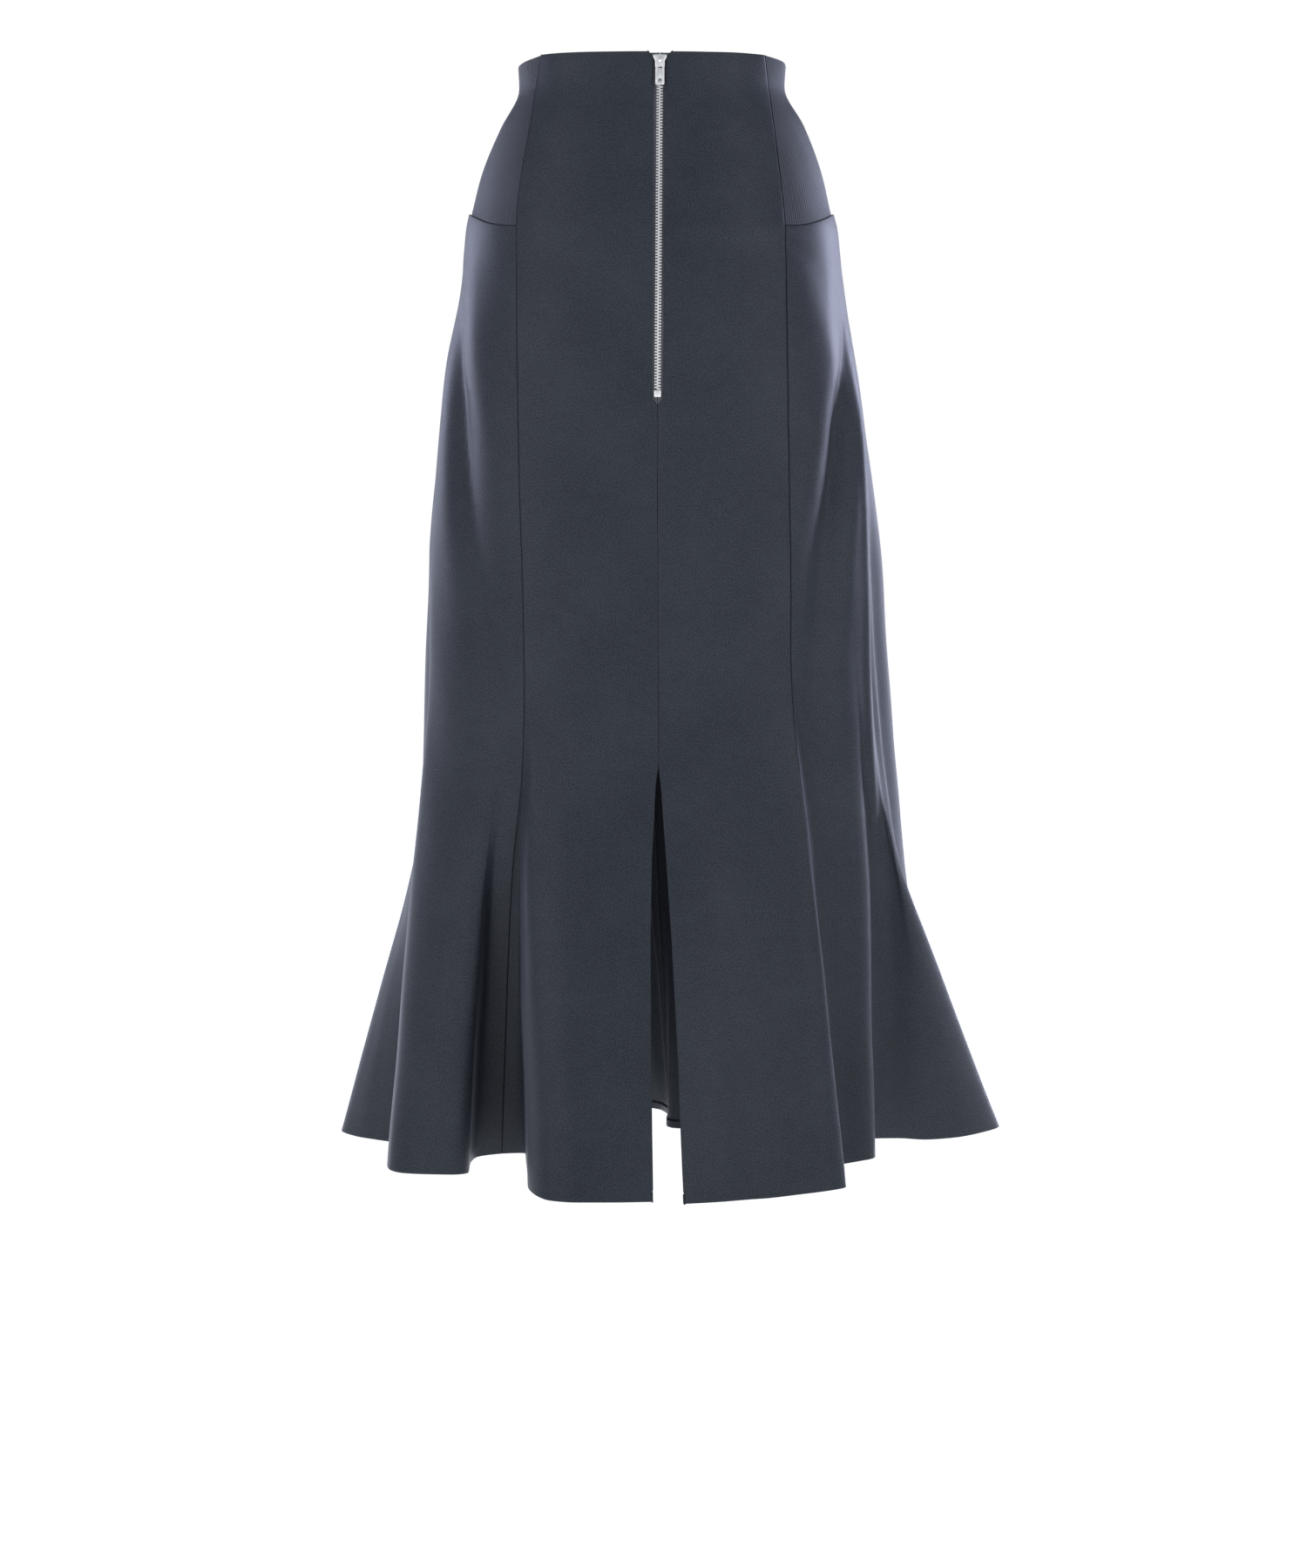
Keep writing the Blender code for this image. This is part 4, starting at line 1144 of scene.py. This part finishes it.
knit_cloth = rib_knit("rib_knit", (0.014, 0.017, 0.024), (0.044, 0.050, 0.066))
YOKES = (  # name, first seam, last seam
    ("rib_yoke_right", "princess_right", "back_right"),
    ("rib_yoke_left", "back_left", "princess_left"),
)
for name, first_seam, last_seam in YOKES:
    yoke, ribs = knit_yoke(f"{name}_cloth", first_seam, last_seam)
    yoke.data.materials.append(knit_cloth)
    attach(yoke, "skirt")
    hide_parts(name)
    print(name, "ribs", ribs, "faces", len(yoke.data.polygons))

# %% [markdown]
# ## The zip's tapes
#
# Each half of a zip is a woven tape. Its inner edge is a round cord that the teeth clamp. Only a sliver of
# tape shows beside the teeth, but the whole width is made, because it is seen from inside the skirt.

# %% Weave the tapes
WALL = 1.5 * MM  # of the frame's cloth
ZIP_TOP = -3 * MM
ZIP_BOTTOM = -260.3 * MM
ZIP_SLANT = ((0, 4.8), (-265, 2.9))  # z, x, in mm
TAPE_TOP = -1 * MM
TAPE_BOTTOM = -268 * MM
TAPE_DEPTH = WALL + 0.5 * MM
TAPE_WIDTH = 12 * MM
TAPE_THICKNESS = 0.6 * MM
TAPE_COLUMNS = np.concatenate([np.linspace(0.15, 1.8, 9) * MM, np.linspace(2.4 * MM, TAPE_WIDTH, 9)])
TAPE_ROWS = 90
CORD_WIDTH = 1.6 * MM
CORD_HEIGHT = 0.5 * MM


def zip_x(z):
    """The x of the zip's middle at these heights."""
    heights, places = np.array(ZIP_SLANT[::-1]).T * MM
    return np.interp(z, heights, places)


def zip_tape(name, side):
    """The tape at this side of the zip's middle, with the cord as a round bead along its inner edge."""
    columns = TAPE_COLUMNS if side > 0 else -TAPE_COLUMNS[::-1]
    off, z = np.meshgrid(columns, np.linspace(TAPE_TOP, TAPE_BOTTOM, TAPE_ROWS))
    cord_radius = CORD_WIDTH / 2
    bead = np.sqrt(np.clip(1 - ((np.abs(off) - cord_radius) / cord_radius) ** 2, 0, 1))
    points, _ = front_points(zip_x(z) + off, z, TAPE_DEPTH - bead * CORD_HEIGHT)
    return thicken(cloth_grid(name, points, np.stack([off, z], -1)), TAPE_THICKNESS)


print("the zip's middle at its two ends", zip_x(np.array([ZIP_TOP, ZIP_BOTTOM])).round(4).tolist())

# %% Colour the tapes
TWILL_STEP = 1.5 * MM
TWILL_SHARE = 0.35
TAPE_BUMP = (0.5, 0.1 * MM)
TAPE_FINISH = {"Roughness": 0.7, "Specular IOR Level": 0.3}


def woven_tape(name, darker, lighter):
    """A herringbone: lines that climb from both sides of a column to its middle."""
    material, tree, shader = new_material(name, TAPE_FINISH)
    place = cloth_place(tree)
    split = node(tree, "ShaderNodeSeparateXYZ", Vector=place)
    arm = maths(tree, "PINGPONG", split.outputs["X"], 2 * TWILL_STEP)
    climb = maths(tree, "ADD", split.outputs["Y"], arm)
    twill = maths(tree, "SINE", maths(tree, "MULTIPLY", climb, 2 * math.pi / TWILL_STEP))
    tone = maths(tree, "ADD", maths(tree, "MULTIPLY", twill, TWILL_SHARE), noise(tree, place, GRAIN_SCALE))
    colour_between(tree, shader, tone, darker, lighter)
    raise_by(tree, shader, twill, *TAPE_BUMP)
    return material


tape_weave = woven_tape("zip_tape_weave", (0.070, 0.071, 0.088), (0.125, 0.126, 0.15))
for hand, side in (("left", -1), ("right", 1)):
    name = f"zip_tape_{hand}"
    tape = zip_tape(f"{name}_woven", side)
    tape.data.materials.append(tape_weave)
    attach(tape, "skirt")
    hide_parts(name)
    print(name, "faces", len(tape.data.polygons))

# %% [markdown]
# ## The zip's teeth
#
# A metal zip is two rows of small clamped teeth, and the teeth of one side fill the gaps of the other. One
# tooth is modelled as a bevelled block with a raised head. Then it is copied down each side by a loop,
# because each copy has to turn with the front of the skirt, which an Array wouldn't do by itself.

# %% Shape one tooth
TOOTH_PITCH = 2.2 * MM
TOOTH_SIZE = (3.1 * MM, 1.5 * MM, 1.4 * MM)  # across, out, along
TOOTH_REACH = 0.7 * MM
HEAD_SHARE = 0.76  # of the foot's height, so that two heads fit into one pitch
CROWN_INSET = 0.2 * MM
CROWN_HEIGHT = 0.28 * MM


def add_tooth(mesh, place, side):
    """One tooth: its head reaches past the middle of the zip, and its foot clamps the tape's cord."""
    wide, deep, high = TOOTH_SIZE
    block = bmesh.ops.create_cube(mesh, size=1.0, matrix=Matrix.Diagonal((wide, deep, high, 1)))["verts"]
    for vert in block:
        if vert.co.x * side < 0:
            vert.co.z *= HEAD_SHARE
        vert.co.x += side * (wide / 2 - TOOTH_REACH)
    face = min({f for v in block for f in v.link_faces}, key=lambda f: f.calc_center_median().y)
    inset = bmesh.ops.inset_individual(mesh, faces=[face], thickness=CROWN_INSET)
    bmesh.ops.translate(mesh, verts=face.verts, vec=(0, -CROWN_HEIGHT, 0))
    verts = list({*block, *face.verts, *(v for f in inset["faces"] for v in f.verts)})
    bmesh.ops.transform(mesh, matrix=place, verts=verts)


print("teeth every", TOOTH_PITCH / MM, "mm")

# %% Find a place on the zip
def zip_place(z, depth):
    """The matrix of a place on the zip: X across, Z up along it, and Y into the cloth."""
    height = np.array([z])
    point, outward = front_points(zip_x(height), height, np.array([depth]))
    lower = np.array([z - MM])
    below, _ = front_points(zip_x(lower), lower, np.array([depth]))
    up = Vector(point[0] - below[0]).normalized()
    inward = -Vector(outward[0])
    across = inward.cross(up).normalized()
    turned = Matrix((across, inward, up)).transposed().to_4x4()
    return Matrix.Translation(Vector(point[0])) @ turned


print("the top of the zip is at", [round(value, 4) for value in zip_place(ZIP_TOP, 0).translation])

# %% Cast the metal
SHARP_ANGLE = 35
WEAR_SCALE = 1 / (1.5 * MM)
CAST_SCALE = 1 / (0.3 * MM)
METAL_BUMP = (0.12, 0.02 * MM)
METAL_FINISH = {"Metallic": 1.0, "Roughness": 0.42}


def mesh_piece(name, mesh, material):
    """An object from a bmesh, smooth but for its sharp edges."""
    data = bpy.data.meshes.new(name)
    mesh.to_mesh(data)
    mesh.free()
    data.shade_smooth()
    data.set_sharp_from_angle(angle=math.radians(SHARP_ANGLE))
    data.materials.append(material)
    return add_object(name, data)


def zip_metal(name, darker, lighter):
    """Cast metal, worn a little brighter in patches."""
    material, tree, shader = new_material(name, METAL_FINISH)
    place = tree.nodes.new("ShaderNodeTexCoord").outputs["Object"]
    colour_between(tree, shader, noise(tree, place, WEAR_SCALE, 3.0), darker, lighter)
    raise_by(tree, shader, noise(tree, place, CAST_SCALE), *METAL_BUMP)
    return material


silver = zip_metal("silver_zip_metal", (0.88, 0.88, 0.88), (0.96, 0.96, 0.96))
print("metal", silver.name)

# %% Set the teeth down the zip
CHAIN_DEPTH = 0.55 * MM
SLIDER_LENGTH = 9.5 * MM
STOP_SIZE = (5.3 * MM, 2.9 * MM, 5.2 * MM)  # across, out, along
END_CLEARANCE = 0.8 * MM

chain_top = ZIP_TOP - SLIDER_LENGTH - END_CLEARANCE
chain_bottom = ZIP_BOTTOM + STOP_SIZE[2] + END_CLEARANCE
teeth = bmesh.new()
for side, start in ((-1, 0), (1, TOOTH_PITCH / 2)):
    for z in np.arange(chain_top - start, chain_bottom, -TOOTH_PITCH):
        add_tooth(teeth, zip_place(z, CHAIN_DEPTH), side)
chain = mesh_piece("zip_teeth", teeth, silver)
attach(chain, "skirt")
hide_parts("zip_chain")
print("teeth faces", len(chain.data.polygons))

# %% [markdown]
# ## The bottom stop, the slider and the pull tab
#
# The stop is a small pressed block. The slider is a wedge-shaped plate whose top flares into two wings,
# with a bridge that holds the tab. The tab is a flat stamped strip with a slot and a hole. A sheet outline
# that is extruded and bevelled is the natural way to make a stamped piece.

# %% Press the bottom stop
BEVEL_ANGLE = 30
STOP_BEVEL = 0.7 * MM
STOP_DEPTH = 0.2 * MM


def bevel_all(mesh, width, segments=2):
    """Rounds every edge where two faces meet at more than the bevel angle."""
    edges = [e for e in mesh.edges if e.is_manifold and e.calc_face_angle() > math.radians(BEVEL_ANGLE)]
    bmesh.ops.bevel(
        mesh,
        geom=edges,
        offset=width,
        affect="EDGES",
        segments=segments,
        profile=0.5,
        material=-1,
        clamp_overlap=True,
    )


stop = bmesh.new()
bmesh.ops.create_cube(stop, size=1.0, matrix=Matrix.Diagonal((*STOP_SIZE, 1)))
bevel_all(stop, STOP_BEVEL, 3)
bmesh.ops.transform(stop, matrix=zip_place(ZIP_BOTTOM + STOP_SIZE[2] / 2, STOP_DEPTH), verts=stop.verts)
bottom_stop = mesh_piece("zip_bottom_stop_pressed", stop, silver)
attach(bottom_stop, "skirt")
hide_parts("zip_bottom_stop")
print("stop faces", len(bottom_stop.data.polygons))

# %% [markdown]
# ### The tab's pivot
#
# The tab turns on the slider's bridge, and the frame's hinge says where. The slider and the tab are built
# about that point, with Z up along the zip, and then leaned with the front of the skirt.

# %% Find the pivot
PIVOT_DROP = 4.6 * MM
PLATE_THICKNESS = 1.4 * MM
PIVOT_HEIGHT = 1.3 * MM
pivot = Vector(frame["joints"][0]["pos_m"])
lean_z = np.array([ZIP_TOP - PIVOT_DROP, ZIP_TOP - PIVOT_DROP - SLIDER_LENGTH])
lean_points, _ = front_points(zip_x(lean_z), lean_z, np.zeros(2))
lean = math.atan2(lean_points[0, 1] - lean_points[1, 1], lean_points[0, 2] - lean_points[1, 2])
on_zip = Matrix.Translation(pivot) @ Matrix.Rotation(-lean, 4, "X")
print("pivot", tuple(round(v, 5) for v in pivot), "lean", round(math.degrees(lean), 2))

# %% Plates from outlines
def extruded(outline, depth):
    """A closed plate: an outline in X and Z at y = 0, carried to this depth along Y."""
    mesh = bmesh.new()
    corners = [mesh.verts.new((x * MM, 0, z * MM)) for x, z in outline]
    mesh.faces.new(corners)
    pulled = bmesh.ops.extrude_face_region(mesh, geom=mesh.faces[:])
    moved = [item for item in pulled["geom"] if isinstance(item, bmesh.types.BMVert)]
    bmesh.ops.translate(mesh, verts=moved, vec=(0, depth, 0))
    bmesh.ops.recalc_face_normals(mesh, faces=mesh.faces)
    return mesh


def add_mesh(target, source):
    """Adds one bmesh to another and frees it."""
    data = bpy.data.meshes.new("part")
    source.to_mesh(data)
    source.free()
    target.from_mesh(data)
    bpy.data.meshes.remove(data)


print("slider", SLIDER_LENGTH / MM, "mm long")

# %% Shape the slider
SLIDER_OUTLINE = (  # half width, height from the pivot, in mm
    (3.3, -4.9),
    (3.5, -4.3),
    (3.5, -0.5),
    (5.25, 3.4),
    (5.0, 4.3),
    (3.4, 4.6),
)
PLATE_BEVEL = 0.3 * MM
BRIDGE_WIDTH = 2.0 * MM
BRIDGE_RADII = (1.35 * MM, 2.5 * MM)
BRIDGE_STEPS = 32
BRIDGE_ROOT = 0.5 * MM  # how far the bridge's ends sink into the plate
KEEL_SIZE = (6.2 * MM, 2.0 * MM, 9.1 * MM)
KEEL_DROP = 0.15 * MM
KEEL_BEVEL = 0.25 * MM


def slider_keel():
    """The hidden plate behind the teeth and what joins it to the front one, as a block."""
    keel = bmesh.new()
    middle = Matrix.Translation((0, PIVOT_HEIGHT + PLATE_THICKNESS + KEEL_SIZE[1] / 2, -KEEL_DROP))
    bmesh.ops.create_cube(keel, size=1.0, matrix=middle @ Matrix.Diagonal((*KEEL_SIZE, 1)))
    bevel_all(keel, KEEL_BEVEL)
    return keel


def slider_bridge():
    """A ring about the pivot, cut off inside the plate."""
    bridge = bmesh.new()
    inner, outer = BRIDGE_RADII
    profile = ((inner, -1), (outer, -1), (outer, 1), (inner, 1))
    ring = [bridge.verts.new((across * BRIDGE_WIDTH / 2, 0, radius)) for radius, across in profile]
    edges = [bridge.edges.new((ring[i], ring[(i + 1) % 4])) for i in range(4)]
    bmesh.ops.spin(
        bridge,
        geom=ring + edges,
        axis=(1, 0, 0),
        cent=(0, 0, 0),
        steps=BRIDGE_STEPS,
        angle=2 * math.pi,
        use_merge=True,
    )
    bmesh.ops.recalc_face_normals(bridge, faces=bridge.faces)
    bmesh.ops.bisect_plane(
        bridge,
        geom=bridge.verts[:] + bridge.edges[:] + bridge.faces[:],
        plane_co=(0, PIVOT_HEIGHT + BRIDGE_ROOT, 0),
        plane_no=(0, 1, 0),
        clear_outer=True,
    )
    bmesh.ops.holes_fill(bridge, edges=[e for e in bridge.edges if e.is_boundary], sides=0)
    return bridge


def slider_mesh():
    """The front plate, with the keel and the bridge added to it."""
    mirrored = [(-x, z) for x, z in reversed(SLIDER_OUTLINE)]
    plate = extruded([*SLIDER_OUTLINE, *mirrored], PLATE_THICKNESS)
    bevel_all(plate, PLATE_BEVEL)
    bmesh.ops.translate(plate, verts=plate.verts, vec=(0, PIVOT_HEIGHT, 0))
    for part in (slider_keel(), slider_bridge()):
        add_mesh(plate, part)
    return plate


slider_shape = slider_mesh()
bmesh.ops.transform(slider_shape, matrix=on_zip, verts=slider_shape.verts)
slider = mesh_piece("zip_slider_cast", slider_shape, silver)
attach(slider, "skirt")
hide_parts("zip_slider")
print("slider faces", len(slider.data.polygons))

# %% Outline a rounded rectangle
CORNER_STEPS = 6


def rounded_rectangle(width, low, high, corner):
    """The outline of a rectangle about x = 0, with a quarter circle at each corner."""
    half = width / 2 - corner
    upper, lower = high - corner, low + corner
    points = []
    for x, y, first in ((half, upper, 0), (-half, upper, 90), (-half, lower, 180), (half, lower, 270)):
        for i in range(CORNER_STEPS + 1):
            turn = math.radians(first + 90 * i / CORNER_STEPS)
            points.append((x + corner * math.cos(turn), y + corner * math.sin(turn)))
    return points


print("points in an outline", 4 * (CORNER_STEPS + 1))

# %% Stamp the pull tab
TAB_SIZE = (6.5 * MM, 19.5 * MM, 1.2 * MM)
TAB_BAR = 1.5 * MM
TAB_SLOT = (3.7 * MM, 5.6 * MM)
TAB_SLOT_CORNER = 0.5 * MM
TAB_HOLE_RADIUS = 1.5 * MM
TAB_HOLE_RISE = 3.4 * MM
TAB_HOLE_SIDES = 28
TAB_CORNER = 0.6 * MM
TAB_EDGE = 0.18 * MM
DOUBLES = 0.01 * MM


def tab_mesh():
    """The stamped outline as a flat curve, whose own bevel softens the stamped edges."""
    width, length, thickness = TAB_SIZE
    top = TAB_BAR / 2
    low = top - length
    hole_z = low + TAB_HOLE_RISE
    turns = np.linspace(0, 2 * math.pi, TAB_HOLE_SIDES, endpoint=False)
    outlines = [
        rounded_rectangle(width, low, top, TAB_CORNER),
        rounded_rectangle(TAB_SLOT[0], -top - TAB_SLOT[1], -top, TAB_SLOT_CORNER),
        [(TAB_HOLE_RADIUS * math.cos(t), hole_z + TAB_HOLE_RADIUS * math.sin(t)) for t in turns],
    ]
    curve = bpy.data.curves.new("tab_outline", "CURVE")
    curve.dimensions = "2D"
    curve.fill_mode = "BOTH"
    curve.extrude = thickness / 2 - TAB_EDGE
    curve.bevel_depth = TAB_EDGE
    curve.offset = -TAB_EDGE
    curve.bevel_resolution = 1
    for points in outlines:
        spline = curve.splines.new("POLY")
        spline.points.add(len(points) - 1)
        for point, (x, y) in zip(spline.points, points):
            point.co = (x, y, 0, 1)
        spline.use_cyclic_u = True
    flat = add_object("tab_outline", curve)
    data = bpy.data.meshes.new_from_object(flat.evaluated_get(bpy.context.evaluated_depsgraph_get()))
    bpy.data.objects.remove(flat)
    mesh = bmesh.new()
    mesh.from_mesh(data)
    bmesh.ops.remove_doubles(mesh, verts=mesh.verts, dist=DOUBLES)
    bmesh.ops.recalc_face_normals(mesh, faces=mesh.faces)
    bmesh.ops.transform(mesh, matrix=on_zip @ Matrix.Rotation(math.pi / 2, 4, "X"), verts=mesh.verts)
    return mesh


tab = mesh_piece("zip_pull_tab_stamped", tab_mesh(), silver)
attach(tab, "pull_tab")
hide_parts("zip_pull_tab")
print("tab faces", len(tab.data.polygons))

# %% [markdown]
# ## The finished size
#
# The cloth is thinner than the walls that it replaces, and it turns the same edges. So the finished skirt
# has to fill the same box as the frame.

# %% Bring the scene up to date
bpy.context.view_layer.update()
